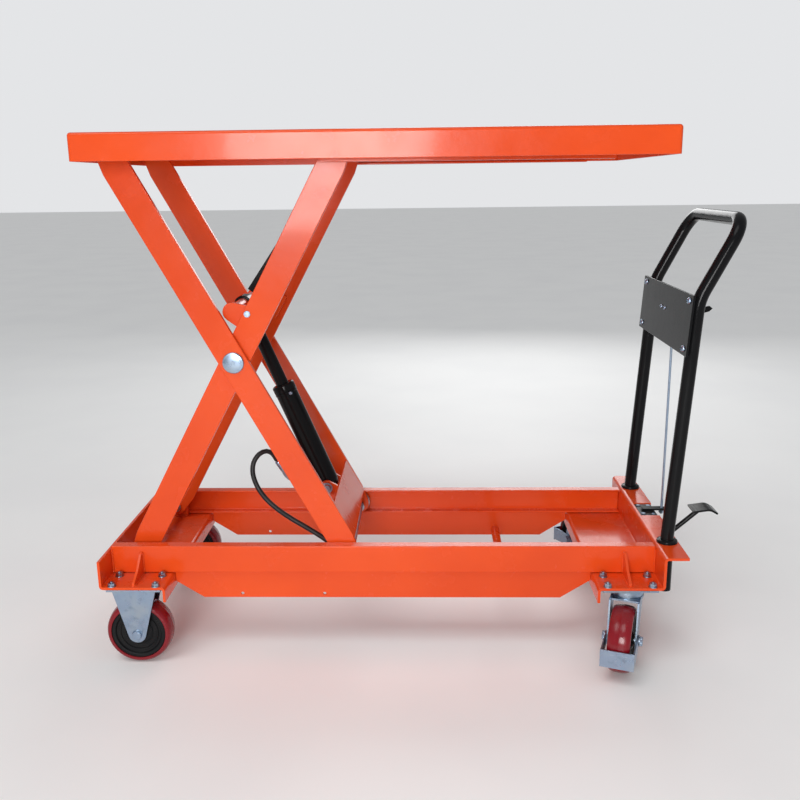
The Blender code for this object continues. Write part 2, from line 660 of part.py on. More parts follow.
def build_scissor():
    """Inner and outer legs, their shafts and pins, the rollers and the maintenance prop."""
    half = LEG_LENGTH / 2
    bore = SHAFT_RADIUS + BORE_CLEARANCE
    centre_bore = 0.010 + BORE_CLEARANCE
    inner_holes = [(0, 0, bore), (half, 0, centre_bore), (LEG_LENGTH, 0, bore)]
    outer_holes = [(-half, 0, bore), (0, 0, centre_bore), (half, 0, bore)]
    for side, sign in sides():
        flat(f"inner_leg_{side}", leg_outline(0, LEG_LENGTH), LEG_THICKNESS, "paint", PLANE_XZ,
             (PIVOT_LEFT_X, sign * INNER_LEG_Y, PIVOT_LOW_Z), -LEG_ANGLE, inner_holes)
        flat(f"outer_leg_{side}", leg_outline(-half, half), LEG_THICKNESS, "paint", PLANE_XZ,
             (CENTRE.x, sign * OUTER_LEG_Y, CENTRE.z), LEG_ANGLE, outer_holes)
        face = OUTER_LEG_Y + LEG_THICKNESS / 2 + GAP
        pin = [(0, 0.0050), (0.020, 0.0050), (0.020, 0), (0.010, 0), (0.010, -0.0245), (0, -0.0245)]
        spin = at(CENTRE.x, sign * face, CENTRE.z) @ (ALONG_Y if sign > 0 else ALONG_Y.inverted())
        turned(f"centre_pin_{side}", pin, "zinc", spin, closed=False)
    shaft("foot_shaft", PIVOT_LEFT_X, PIVOT_LOW_Z, 0.148)
    shaft("upper_roller_shaft", PIVOT_RIGHT_X, PIVOT_HIGH_Z, 0.1505)
    shaft("platform_shaft", PIVOT_LEFT_X, PIVOT_HIGH_Z, 0.159)
    shaft("lower_roller_shaft", PIVOT_RIGHT_X, PIVOT_LOW_Z, 0.1662)
    for side, sign in sides():
        roller(f"lower_roller_{side}", PIVOT_LOW_Z, 0.022, sign * 0.158)
        roller(f"upper_roller_{side}", PIVOT_HIGH_Z, 0.021, sign * 0.142)
    prop()


def shaft(name, x, z, reach):
    """A plain round shaft from one side of the scissor to the other."""
    return round_bar(name, (x, -reach, z), (x, reach, z), SHAFT_RADIUS, "zinc", 20)


def roller(name, z, radius, y):
    """A track roller on the right hand shafts."""
    bore = SHAFT_RADIUS + BORE_CLEARANCE
    half = 0.0072
    ring = [(bore, half), (radius, half), (radius, -half), (bore, -half)]
    return turned(name, ring, "steel", at(PIVOT_RIGHT_X, y, z) @ ALONG_Y, 20)


def prop():
    """The maintenance prop, folded along the near inner leg."""
    hinge = CENTRE + Matrix.Rotation(-LEG_ANGLE, 4, "Y") @ Vector((0.400, 0, 0))
    length = 0.270
    swing = math.atan2(0.030, length)
    bar = [(-length, -0.009), (0, -0.009), *arc((0, 0), 0.009, -60, 60, 5), (0, 0.009), (-length, 0.009)]
    y = -INNER_LEG_Y + 0.0125
    made = meshed(flat("safety_prop", bar, 0.006, "paint_black", PLANE_XZ,
                       (hinge.x, y, hinge.z), -LEG_ANGLE + swing))
    pin = round_bar("prop_pin", (hinge.x, -INNER_LEG_Y + LEG_THICKNESS / 2 + GAP, hinge.z),
                    (hinge.x, y + 0.007, hinge.z), 0.005, "zinc", 12)
    return join(made, pin)


# ---------------------------------------------------------------- hydraulic cylinder
def outer_point(along, across):
    """A point of the outer legs' plane: along from the lower roller axis, across to the upper right."""
    up = Vector((-math.cos(LEG_ANGLE), 0, math.sin(LEG_ANGLE)))
    side = Vector((math.sin(LEG_ANGLE), 0, math.cos(LEG_ANGLE)))
    return Vector((PIVOT_RIGHT_X, 0, PIVOT_LOW_Z)) + up * along + side * across


def inner_point(along, across):
    """A point of the inner legs' plane: along from the centre pin, across to the upper left."""
    up = Vector((math.cos(LEG_ANGLE), 0, math.sin(LEG_ANGLE)))
    side = Vector((-math.sin(LEG_ANGLE), 0, math.cos(LEG_ANGLE)))
    return CENTRE + up * along + side * across


def build_cylinder():
    """The cross beam, the cylinder barrel with its hose elbow, the rod and the head shaft halves."""
    foot = outer_point(CYLINDER_FOOT, 0)
    head = inner_point(*CYLINDER_HEAD)
    run = head - foot
    length = run.length
    axis = at(*foot) @ run.to_track_quat("Z", "Y").to_matrix().to_4x4()

    frame = Matrix.Rotation(LEG_ANGLE, 4, "Y")
    origin = Vector((PIVOT_RIGHT_X, 0, PIVOT_LOW_Z))
    beam_path = [(-0.022, 0.000, 0), (-0.022, 0.023, 0), (-0.106, 0.023, 0)]
    outline = strip(filleted(beam_path, [0.006]), SHEET)
    reach = OUTER_LEG_Y - LEG_THICKNESS / 2 - 0.0005
    beam = meshed(flat("cylinder_beam", outline, 2 * reach, "paint", PLANE_XZ, origin, LEG_ANGLE))
    lugs = []
    for s in (-1, 1):
        lug = [(-0.085, 0.023), (-0.100, -0.008)]
        lug += arc((-CYLINDER_FOOT, 0), 0.015, -60, -250, 9)
        lug += [(-0.104, 0.023)]
        lugs.append(meshed(flat("foot_lug", lug, 0.006, "paint", PLANE_XZ,
                                (origin.x, s * 0.0300, origin.z), LEG_ANGLE)))
    across = Vector((0, 0.038, 0))
    pin = round_bar("foot_pin", foot - across, foot + across, 0.007, "zinc", 16)
    join(beam, *lugs, pin)

    b, s = BARREL_RADIUS, BARREL_LENGTH
    shell = [
        (0, 0.030), (ROD_RADIUS + 0.0006, 0.030), (ROD_RADIUS + 0.0006, s), (0.021, s),
        (0.0245, s - 0.003), (0.0245, s - 0.022), (b, s - 0.023),
        (b, 0.008), (b - 0.003, -0.004), (b - 0.009, -0.012), (0, -0.016),
    ]
    barrel = turned("cylinder_barrel", shell, "paint_black", axis, closed=False)
    exit_low = axis @ Vector((0, 0, 0.038))
    side = Vector((-run.z, 0, run.x)).normalized()
    elbow = exit_low + side * 0.072
    rise = Vector((0, 0, 0.009))
    port = round_bar("hose_port", exit_low + side * (b - 0.004), elbow, 0.0070, "zinc", 12)
    corner = round_bar("elbow_corner", elbow - rise, elbow + rise, 0.0085, "zinc", 12)
    end = Vector(HOSE_LOOP[0])
    end += (elbow - end).normalized() * 0.0012
    ferrule = round_bar("ferrule", elbow, end, 0.0066, "zinc", 12)
    join(barrel, port, corner, ferrule)
    bore = round_bar("barrel_bore", foot + Vector((0, -0.03, 0)), foot + Vector((0, 0.03, 0)), 0.0073,
                     "zinc", 16)
    cut(barrel, bore)
    rod = round_bar("cylinder_rod", (0, 0, 0.165), (0, 0, length), ROD_RADIUS, "paint_black", 20, axis)
    eye = round_bar("rod_eye", (0, -0.0195, 0), (0, 0.0195, 0), 0.018, "paint_black", 20, at(*head))
    join(rod, eye)

    reach = INNER_LEG_Y - LEG_THICKNESS / 2 - GAP
    u, v = CYLINDER_HEAD
    for side, sign in sides():
        half = round_bar(f"head_shaft_{side}", (head.x, sign * 0.0205, head.z),
                         (head.x, sign * reach, head.z), 0.013, "paint", 20)
        outline = [(u - 0.026, -0.014), (u + 0.030, -0.014), (u + 0.030, 0.004)]
        outline += arc((u, v), 0.018, 20, 175, 8)
        cheek = meshed(flat("head_cheek", outline, 0.007, "paint", PLANE_XZ,
                            (CENTRE.x, sign * (reach - 0.0035), CENTRE.z), -LEG_ANGLE))
        join(half, cheek)


# ---------------------------------------------------------------- hose
HOSE_RADIUS = 0.0050
HOSE_LOOP = (
    (-0.3050, -0.0200, 0.3470), (-0.3120, -0.0260, 0.3620), (-0.3225, -0.0340, 0.3700),
    (-0.3365, -0.0420, 0.3660), (-0.3475, -0.0490, 0.3500), (-0.3490, -0.0550, 0.3280),
    (-0.3400, -0.0615, 0.3030), (-0.3230, -0.0680, 0.2800), (-0.3000, -0.0740, 0.2600),
    (-0.2700, -0.0800, 0.2405), (-0.2380, -0.0860, 0.2230), (-0.2030, -0.0940, 0.2030),
    (-0.1750, -0.1020, 0.1830),
)
HOSE_RUN = (
    (-0.1742, -0.1022, 0.1823), (-0.1450, -0.1080, 0.1660), (-0.1000, -0.1140, 0.1500),
    (-0.0450, -0.1160, 0.1420), (0.0200, -0.1160, 0.1390), (0.1000, -0.1160, 0.1382),
    (0.1628, -0.1155, 0.1370), (0.2250, -0.1130, 0.1310), (0.2800, -0.1050, 0.1230),
    (0.3270, -0.0830, 0.1190), (0.3620, -0.0520, 0.1195), (0.3870, -0.0200, 0.1225),
    (0.4070, 0.0030, 0.1245), (0.4295, 0.0080, 0.1250),
)


def build_hose():
    """The pressure hose: a loop that goes with the cylinder and a run along the base to the pump."""
    spacing = 5.2 * HOSE_RADIUS
    tube("hose_loop", smooth_route(HOSE_LOOP, spacing), HOSE_RADIUS, "rubber")
    tube("hose_run", smooth_route(HOSE_RUN, spacing), HOSE_RADIUS, "rubber")


# ---------------------------------------------------------------- platform
def build_platform():
    """The table top with turned down edges, its roller tracks and the lugs of its fixed pivots."""
    half = PLATFORM_WIDTH / 2
    low = PLATFORM_TOP - PLATFORM_DEPTH
    under = PLATFORM_TOP - PLATFORM_SKIN
    top = box("table_top", (PLATFORM_LEFT, -half, low), (PLATFORM_RIGHT, half, PLATFORM_TOP), "paint")
    edge = top.modifiers.new("Folded edges", "BEVEL")
    edge.width = 0.0025
    edge.segments = 2
    hollow = box("top_hollow", (PLATFORM_LEFT + PLATFORM_LIP, -half + PLATFORM_LIP, low - 0.01),
                 (PLATFORM_RIGHT - PLATFORM_LIP, half - PLATFORM_LIP, under), "paint")
    cut(top, hollow)
    seat = under - GAP
    track_low = PIVOT_HIGH_Z - 0.021 - GAP - 0.004
    for side, sign in sides():
        angle_bar = [
            (sign * 0.1345, track_low), (sign * 0.156, track_low), (sign * 0.156, seat),
            (sign * 0.152, seat), (sign * 0.152, track_low + 0.004), (sign * 0.1345, track_low + 0.004),
        ]
        flat(f"roller_track_{side}", angle_bar, 0.520, "paint", PLANE_YZ, (0.080, 0, 0))
        drop = seat - PIVOT_HIGH_Z
        lug = [(0.024, drop), (-0.018, drop), *arc((0, 0), 0.018, 180, 360, 10)]
        flat(f"platform_lug_{side}", lug, LEG_THICKNESS, "paint", PLANE_XZ,
             (PIVOT_LEFT_X, sign * 0.1525, PIVOT_HIGH_Z), holes=[(0, 0, SHAFT_RADIUS + BORE_CLEARANCE)])


clear_scene()
PARTS = new_collection("scissor_lift_table")
CUTTERS = new_collection("cutters")
build_base()
build_handle()
build_pump()
build_casters()
build_scissor()
build_cylinder()
build_hose()
build_platform()
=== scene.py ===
"""Looks of a foot pumped scissor lift table: powder coated steel, zinc plating, urethane wheels.

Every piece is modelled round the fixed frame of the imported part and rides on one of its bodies.
Lengths are metres; +X runs towards the push handle, +Z is up and the floor is z = 0.
"""

import logging
import math
from collections.abc import Callable, Iterable, Iterator, Sequence
from contextlib import contextmanager
from dataclasses import dataclass
from enum import Enum

import bmesh
import bpy
from mathutils import Matrix, Vector


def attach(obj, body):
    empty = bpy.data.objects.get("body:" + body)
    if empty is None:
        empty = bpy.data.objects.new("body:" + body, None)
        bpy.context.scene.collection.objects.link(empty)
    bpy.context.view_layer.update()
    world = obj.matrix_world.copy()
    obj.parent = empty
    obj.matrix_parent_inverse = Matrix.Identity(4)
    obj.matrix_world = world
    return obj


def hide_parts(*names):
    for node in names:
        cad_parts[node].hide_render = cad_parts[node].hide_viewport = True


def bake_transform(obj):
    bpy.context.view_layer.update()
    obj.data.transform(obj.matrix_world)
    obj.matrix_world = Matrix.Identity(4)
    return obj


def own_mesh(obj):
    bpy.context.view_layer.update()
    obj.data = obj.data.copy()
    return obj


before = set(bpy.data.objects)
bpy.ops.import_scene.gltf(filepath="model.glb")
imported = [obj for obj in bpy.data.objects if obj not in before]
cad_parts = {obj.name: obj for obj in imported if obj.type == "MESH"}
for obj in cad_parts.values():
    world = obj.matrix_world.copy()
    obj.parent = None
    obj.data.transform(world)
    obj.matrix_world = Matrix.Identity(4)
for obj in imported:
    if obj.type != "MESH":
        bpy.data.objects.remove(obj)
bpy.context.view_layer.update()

LOG = logging.getLogger("lift_table")

Point = Sequence[float]
Shape = bpy.types.Object
Socket = bpy.types.NodeSocket


class Side(Enum):
    """The two long sides of the table: the value is the sign of y."""

    NEAR = -1
    FAR = 1

    @property
    def word(self) -> str:
        """The side's word in node names."""
        return self.name.lower()


class Look(Enum):
    """Finishes by the record's material slots."""

    ORANGE = "orange_paint"
    BLACK = "black_paint"
    ZINC = "zinc_plate"
    STEEL = "roller_steel"
    URETHANE = "red_urethane"
    NYLON = "black_nylon"
    RUBBER = "hose_rubber"


# ---------------------------------------------------------------- node sheets and finishes
class Sheet:
    """Adds and links the nodes of one shader tree."""

    def __init__(self, tree: bpy.types.NodeTree) -> None:
        """Keeps the tree that nodes are added to."""
        self.tree = tree

    def add(self, kind: str, sockets: dict[str, object] | None = None, **settings: object) -> bpy.types.Node:
        """Adds a node.

        Args:
            kind: the node's type name.
            sockets: values or output sockets for the node's inputs, by socket name or index.
            settings: the node's own properties.

        Returns:
            The new node.
        """
        node = self.tree.nodes.new(kind)
        for key, value in settings.items():
            setattr(node, key, value)
        for key, value in (sockets or {}).items():
            if isinstance(value, Socket):
                self.tree.links.new(value, node.inputs[key])
            else:
                node.inputs[key].default_value = value
        return node

    def noise(self, where: Socket, scale: float, detail: float = 3.0) -> Socket:
        """A noise value at the given coordinates and scale."""
        made = self.add("ShaderNodeTexNoise", {"Vector": where, "Scale": scale, "Detail": detail})
        return made.outputs["Fac"]

    def stretch(self, where: Socket, scale: Point, turn: Point = (0, 0, 0)) -> Socket:
        """Coordinates stretched along the axes after a turn."""
        made = self.add("ShaderNodeMapping", {"Vector": where, "Scale": scale, "Rotation": turn})
        return made.outputs[0]

    def ramp(self, value: Socket, low: float, high: float, out: Point = (0.0, 1.0)) -> Socket:
        """A value mapped from low..high to the out range, clamped.

        Args:
            value: the socket to map.
            low: the lowest input, which gives the first output.
            high: the highest input, which gives the second output.
            out: the two output ends.

        Returns:
            The mapped value.
        """
        made = self.add(
            "ShaderNodeMapRange",
            {"Value": value, "From Min": low, "From Max": high, "To Min": out[0], "To Max": out[1]},
        )
        return made.outputs[0]

    def sums(self, operation: str, a: object, b: object) -> Socket:
        """A Math node's result."""
        return self.add("ShaderNodeMath", {0: a, 1: b}, operation=operation).outputs[0]

    def blend(self, amount: object, a: object, b: object, kind: str = "MIX") -> Socket:
        """Two colours mixed by an amount."""
        made = self.add("ShaderNodeMix", {0: amount, 6: a, 7: b}, data_type="RGBA", blend_type=kind)
        return made.outputs[2]

    def place(self) -> Socket:
        """Object coordinates."""
        return self.add("ShaderNodeTexCoord").outputs["Object"]


def rgba(colour: Point) -> tuple[float, float, float, float]:
    """A colour with full alpha."""
    return (colour[0], colour[1], colour[2], 1.0)


def new_group(name: str, takes: dict[str, str], gives: dict[str, str]) -> tuple[bpy.types.NodeTree, Sheet]:
    """Starts a shader node group.

    Args:
        name: the group's name.
        takes: input sockets, name to socket type.
        gives: output sockets, name to socket type.

    Returns:
        The group and a sheet that adds nodes to it.
    """
    group = bpy.data.node_groups.new(name, "ShaderNodeTree")
    for label, kind in takes.items():
        group.interface.new_socket(label, in_out="INPUT", socket_type=kind)
    for label, kind in gives.items():
        group.interface.new_socket(label, in_out="OUTPUT", socket_type=kind)
    return group, Sheet(group)


FLOAT = "NodeSocketFloat"
COLOUR = "NodeSocketColor"


def coat_group() -> bpy.types.NodeTree:
    """Cured powder coat: orange peel height, cloudy tone and a little uneven gloss.

    Returns:
        The group.
    """
    group, sheet = new_group(
        "powder_coat",
        {"Colour": COLOUR, "Deep": COLOUR, "Gloss": FLOAT},
        {"Colour": COLOUR, "Roughness": FLOAT, "Height": FLOAT},
    )
    into = sheet.add("NodeGroupInput")
    where = sheet.place()
    cloud = sheet.ramp(sheet.noise(where, 3.5, 4), 0.35, 0.68)
    tone = sheet.blend(sheet.sums("MULTIPLY", cloud, 0.55), into.outputs["Colour"], into.outputs["Deep"])
    fleck = sheet.ramp(sheet.noise(where, 700, 1), 0.66, 0.74, (0.0, 0.12))
    tone = sheet.blend(fleck, tone, into.outputs["Deep"])
    peel = sheet.sums("MULTIPLY", sheet.noise(where, 190, 2), 0.7)
    waves = sheet.sums("MULTIPLY", sheet.noise(where, 46, 2), 1.0)
    uneven = sheet.ramp(sheet.noise(where, 22, 4), 0.3, 0.7, (-0.045, 0.055))
    gloss = sheet.sums("ADD", into.outputs["Gloss"], uneven)
    out = sheet.add("NodeGroupOutput")
    group.links.new(tone, out.inputs["Colour"])
    group.links.new(gloss, out.inputs["Roughness"])
    group.links.new(sheet.sums("ADD", peel, waves), out.inputs["Height"])
    return group


def dust_group() -> bpy.types.NodeTree:
    """Fine dust that settles on upward faces, more of it low down, in soft patches.

    Returns:
        The group.
    """
    group, sheet = new_group("settled_dust", {"Amount": FLOAT}, {"Mask": FLOAT})
    into = sheet.add("NodeGroupInput")
    where = sheet.place()
    split = sheet.add("ShaderNodeSeparateXYZ", {0: sheet.add("ShaderNodeNewGeometry").outputs["Normal"]})
    upward = sheet.ramp(split.outputs["Z"], 0.55, 1.0)
    patch = sheet.ramp(sheet.noise(where, 14, 5), 0.42, 0.72)
    grit = sheet.ramp(sheet.noise(where, 320, 2), 0.45, 0.7, (0.5, 1.0))
    height = sheet.add("ShaderNodeSeparateXYZ", {0: where}).outputs["Z"]
    low = sheet.ramp(height, 0.0, 1.0, (1.0, 0.35))
    mask = sheet.sums("MULTIPLY", sheet.sums("MULTIPLY", upward, patch), sheet.sums("MULTIPLY", grit, low))
    out = sheet.add("NodeGroupOutput")
    group.links.new(sheet.sums("MULTIPLY", mask, into.outputs["Amount"]), out.inputs["Mask"])
    return group


def scuff_group() -> bpy.types.NodeTree:
    """Thin handling scratches in three directions, broken up in patches.

    Returns:
        The group.
    """
    group, sheet = new_group("scuffs", {"Amount": FLOAT}, {"Mask": FLOAT})
    into = sheet.add("NodeGroupInput")
    where = sheet.place()
    total: object = 0.0
    strokes = (
        ((0, 0, 0.3), (7, 260, 260)),
        ((0.4, 0, 1.2), (9, 340, 340)),
        ((0, 0.5, -0.6), (12, 420, 420)),
    )
    for turn, scale in strokes:
        line = sheet.ramp(sheet.noise(sheet.stretch(where, scale, turn), 1.0, 2), 0.70, 0.76)
        total = sheet.sums("MAXIMUM", line, total)
    patch = sheet.ramp(sheet.noise(where, 9, 3), 0.48, 0.66)
    out = sheet.add("NodeGroupOutput")
    marks = sheet.sums("MULTIPLY", total, patch)
    group.links.new(sheet.sums("MULTIPLY", marks, into.outputs["Amount"]), out.inputs["Mask"])
    return group


def plating_group() -> bpy.types.NodeTree:
    """Bright zinc: blotchy passivation tints, spangle and drawn lines.

    Returns:
        The group.
    """
    group, sheet = new_group(
        "zinc_plating", {"Gloss": FLOAT}, {"Colour": COLOUR, "Roughness": FLOAT, "Height": FLOAT}
    )
    into = sheet.add("NodeGroupInput")
    where = sheet.place()
    cool = rgba((0.50, 0.53, 0.56))
    warm = rgba((0.60, 0.585, 0.54))
    dull = rgba((0.35, 0.37, 0.39))
    tint = sheet.blend(sheet.ramp(sheet.noise(where, 30, 4), 0.46, 0.72), cool, warm)
    tint = sheet.blend(sheet.ramp(sheet.noise(where, 95, 5), 0.56, 0.74, (0.0, 0.65)), tint, dull)
    lines = sheet.noise(sheet.stretch(where, (60, 60, 900)), 1.0, 2)
    uneven = sheet.ramp(sheet.noise(where, 60, 4), 0.3, 0.7, (-0.07, 0.13))
    rough = sheet.sums("ADD", into.outputs["Gloss"], uneven)
    out = sheet.add("NodeGroupOutput")
    group.links.new(tint, out.inputs["Colour"])
    group.links.new(rough, out.inputs["Roughness"])
    group.links.new(lines, out.inputs["Height"])
    return group


@dataclass(frozen=True)
class Shop:
    """The shared shader groups that finishes are mixed from."""

    coat: bpy.types.NodeTree
    dust: bpy.types.NodeTree
    scuffs: bpy.types.NodeTree
    plating: bpy.types.NodeTree

    def use(self, sheet: Sheet, group: bpy.types.NodeTree, values: dict[str, object]) -> bpy.types.Node:
        """Places a group in a material with its own values.

        Args:
            sheet: the sheet that adds nodes to the material.
            group: the shared group to place.
            values: values or sockets for the group's inputs.

        Returns:
            The placed group's node.
        """
        node = sheet.add("ShaderNodeGroup", node_tree=group)
        for key, value in values.items():
            if isinstance(value, Socket):
                sheet.tree.links.new(value, node.inputs[key])
            else:
                node.inputs[key].default_value = value
        return node


def start_material(name: str) -> tuple[bpy.types.Material, Sheet, bpy.types.Node]:
    """A new material with its sheet and its Principled shader.

    Args:
        name: the material's name.

    Returns:
        The material, its sheet and its shader.
    """
    made = bpy.data.materials.new(name)
    made.use_nodes = True
    return made, Sheet(made.node_tree), made.node_tree.nodes["Principled BSDF"]


@dataclass(frozen=True)
class Paint:
    """Powder coated or painted sheet metal."""

    name: str
    colour: Point
    deep: Point
    gloss: float
    peel: float
    dust: float
    wear: float
    under: Point
    shine: float
    lacquer: float
    bend: float = 1.5

    def build(self, shop: Shop) -> bpy.types.Material:
        """Makes the paint's material.

        Args:
            shop: the shared shader groups.

        Returns:
            The material.
        """
        material, sheet, shader = start_material(self.name)
        coat = shop.use(sheet, shop.coat,
                        {"Colour": rgba(self.colour), "Deep": rgba(self.deep), "Gloss": self.gloss})
        dust = shop.use(sheet, shop.dust, {"Amount": self.dust})
        scuffs = shop.use(sheet, shop.scuffs, {"Amount": self.wear})
        tone = sheet.blend(scuffs.outputs["Mask"], coat.outputs["Colour"], rgba(self.under))
        tone = sheet.blend(dust.outputs["Mask"], tone, rgba((0.42, 0.38, 0.33)))
        dull = sheet.sums("MULTIPLY", dust.outputs["Mask"], 0.5)
        rough = sheet.sums("ADD", coat.outputs["Roughness"], dull)
        rough = sheet.sums("ADD", rough, sheet.sums("MULTIPLY", scuffs.outputs["Mask"], 0.25))
        bump = sheet.add("ShaderNodeBump", {"Height": coat.outputs["Height"], "Strength": self.peel,
                                            "Distance": 0.0006})
        link = material.node_tree.links.new
        link(tone, shader.inputs["Base Color"])
        link(rough, shader.inputs["Roughness"])
        link(bump.outputs[0], shader.inputs["Normal"])
        shader.inputs["Specular IOR Level"].default_value = self.shine
        shader.inputs["IOR"].default_value = self.bend
        shader.inputs["Coat Weight"].default_value = self.lacquer
        shader.inputs["Coat Roughness"].default_value = 0.08
        return material


@dataclass(frozen=True)
class Plating:
    """Zinc plated or turned bare steel."""

    name: str
    gloss: float
    tint: Point
    dust: float

    def build(self, shop: Shop) -> bpy.types.Material:
        """Makes the plated material.

        Args:
            shop: the shared shader groups.

        Returns:
            The material.
        """
        material, sheet, shader = start_material(self.name)
        zinc = shop.use(sheet, shop.plating, {"Gloss": self.gloss})
        dust = shop.use(sheet, shop.dust, {"Amount": self.dust})
        scuffs = shop.use(sheet, shop.scuffs, {"Amount": 0.5})
        tone = sheet.blend(1.0, zinc.outputs["Colour"], rgba(self.tint), "MULTIPLY")
        tone = sheet.blend(scuffs.outputs["Mask"], tone, rgba((0.75, 0.76, 0.78)))
        tone = sheet.blend(dust.outputs["Mask"], tone, rgba((0.30, 0.27, 0.23)))
        dull = sheet.sums("MULTIPLY", dust.outputs["Mask"], 0.4)
        rough = sheet.sums("ADD", zinc.outputs["Roughness"], dull)
        bump = sheet.add("ShaderNodeBump", {"Height": zinc.outputs["Height"], "Strength": 0.12,
                                            "Distance": 0.0003})
        link = material.node_tree.links.new
        link(tone, shader.inputs["Base Color"])
        link(rough, shader.inputs["Roughness"])
        link(bump.outputs[0], shader.inputs["Normal"])
        shader.inputs["Metallic"].default_value = 1.0
        return material


@dataclass(frozen=True)
class Moulded:
    """Urethane, nylon and rubber."""

    name: str
    colour: Point
    pale: Point
    rough: float
    grain: float
    height: float
    dust: float
    shine: float

    def build(self, shop: Shop) -> bpy.types.Material:
        """Makes the moulded material.

        Args:
            shop: the shared shader groups.

        Returns:
            The material.
        """
        material, sheet, shader = start_material(self.name)
        where = sheet.place()
        cloud = sheet.ramp(sheet.noise(where, 26, 5), 0.45, 0.78, (0.0, 0.7))
        tone = sheet.blend(cloud, rgba(self.colour), rgba(self.pale))
        dust = shop.use(sheet, shop.dust, {"Amount": self.dust})
        scuffs = shop.use(sheet, shop.scuffs, {"Amount": 0.35})
        tone = sheet.blend(scuffs.outputs["Mask"], tone, rgba(self.pale))
        tone = sheet.blend(dust.outputs["Mask"], tone, rgba((0.33, 0.30, 0.26)))
        rough = sheet.ramp(sheet.noise(where, 70, 3), 0.3, 0.7, (self.rough - 0.06, self.rough + 0.1))
        grain = sheet.noise(where, self.grain, 3)
        bump = sheet.add("ShaderNodeBump", {"Height": grain, "Strength": self.height, "Distance": 0.0004})
        link = material.node_tree.links.new
        link(tone, shader.inputs["Base Color"])
        link(rough, shader.inputs["Roughness"])
        link(bump.outputs[0], shader.inputs["Normal"])
        shader.inputs["Specular IOR Level"].default_value = self.shine
        return material


FINISHES = {
    Look.ORANGE: Paint(
        name="orange_powder_coat", colour=(0.79, 0.080, 0.010), deep=(0.62, 0.046, 0.006), gloss=0.24,
        peel=0.22, dust=0.22, wear=0.10, under=(0.90, 0.26, 0.12), shine=0.22, lacquer=0.22,
    ),
    Look.BLACK: Paint(
        name="black_gloss_paint", colour=(0.006, 0.006, 0.007), deep=(0.010, 0.010, 0.010), gloss=0.17,
        peel=0.22, dust=0.12, wear=0.12, under=(0.05, 0.05, 0.05), shine=0.40, lacquer=0.05, bend=1.22,
    ),
    Look.ZINC: Plating(name="bright_zinc", gloss=0.30, tint=(0.64, 0.77, 0.95), dust=0.30),
    Look.STEEL: Plating(name="turned_steel", gloss=0.24, tint=(0.82, 0.84, 0.88), dust=0.25),
    Look.URETHANE: Moulded(
        name="dark_red_urethane", colour=(0.20, 0.004, 0.010), pale=(0.25, 0.014, 0.020), rough=0.18,
        grain=500, height=0.10, dust=0.20, shine=0.40,
    ),
    Look.NYLON: Moulded(
        name="black_moulding", colour=(0.005, 0.005, 0.006), pale=(0.014, 0.014, 0.013), rough=0.34,
        grain=620, height=0.25, dust=0.15, shine=0.20,
    ),
    Look.RUBBER: Moulded(
        name="black_rubber", colour=(0.010, 0.010, 0.011), pale=(0.030, 0.029, 0.028), rough=0.42,
        grain=850, height=0.45, dust=0.25, shine=0.35,
    ),
}


# ---------------------------------------------------------------- modelling tools
def only(piece: Shape) -> None:
    """Makes a piece the one selected and active object.

    Args:
        piece: the object to select.
    """
    bpy.ops.object.select_all(action="DESELECT")
    piece.select_set(True)
    bpy.context.view_layer.objects.active = piece


@contextmanager
def editing(piece: Shape, kind: str = "VERT") -> Iterator[None]:
    """Opens a piece in edit mode with nothing selected.

    Args:
        piece: the mesh to edit.
        kind: VERT, EDGE or FACE select mode.
    """
    only(piece)
    bpy.ops.object.mode_set(mode="EDIT")
    bpy.ops.mesh.select_mode(type=kind)
    bpy.ops.mesh.select_all(action="DESELECT")
    yield
    bpy.ops.object.mode_set(mode="OBJECT")


def pick_faces(piece: Shape, test: Callable[[Vector, Vector], bool]) -> None:
    """Selects the faces whose centre and normal pass a test; the piece is in face mode.

    Args:
        piece: the mesh to work on.
        test: says from a face's centre and normal if it is selected.
    """
    shape = bmesh.from_edit_mesh(piece.data)
    for face in shape.faces:
        face.select_set(test(face.calc_center_median(), face.normal))
    bmesh.update_edit_mesh(piece.data)


def pick_edges(piece: Shape, test: Callable[[Vector, Vector], bool]) -> None:
    """Selects the edges whose two ends pass a test; the piece is in edge mode.

    Args:
        piece: the mesh to work on.
        test: says from an edge's two ends if it is selected.
    """
    shape = bmesh.from_edit_mesh(piece.data)
    for edge in shape.edges:
        edge.select_set(test(edge.verts[0].co, edge.verts[1].co))
    bmesh.update_edit_mesh(piece.data)


def soften(piece: Shape, width: float, segments: int = 2, angle: float = 32.0) -> Shape:
    """Rounds a piece's sharp edges by a width and shades it smooth.

    Args:
        piece: the mesh to work on.
        width: how far the rounding reaches in from an edge.
        segments: how many facets the rounding has.
        angle: the smallest angle in degrees between two faces that is rounded.

    Returns:
        The same piece.
    """
    only(piece)
    bevel = piece.modifiers.new("Soft edges", "BEVEL")
    bevel.width = width
    bevel.segments = segments
    bevel.limit_method = "ANGLE"
    bevel.angle_limit = math.radians(angle)
    bevel.use_clamp_overlap = True
    bpy.ops.object.modifier_apply(modifier=bevel.name)
    bpy.ops.object.shade_smooth_by_angle(angle=math.radians(38))
    flats = piece.modifiers.new("Flat faces", "WEIGHTED_NORMAL")
    flats.keep_sharp = True
    bpy.ops.object.modifier_apply(modifier=flats.name)
    return piece


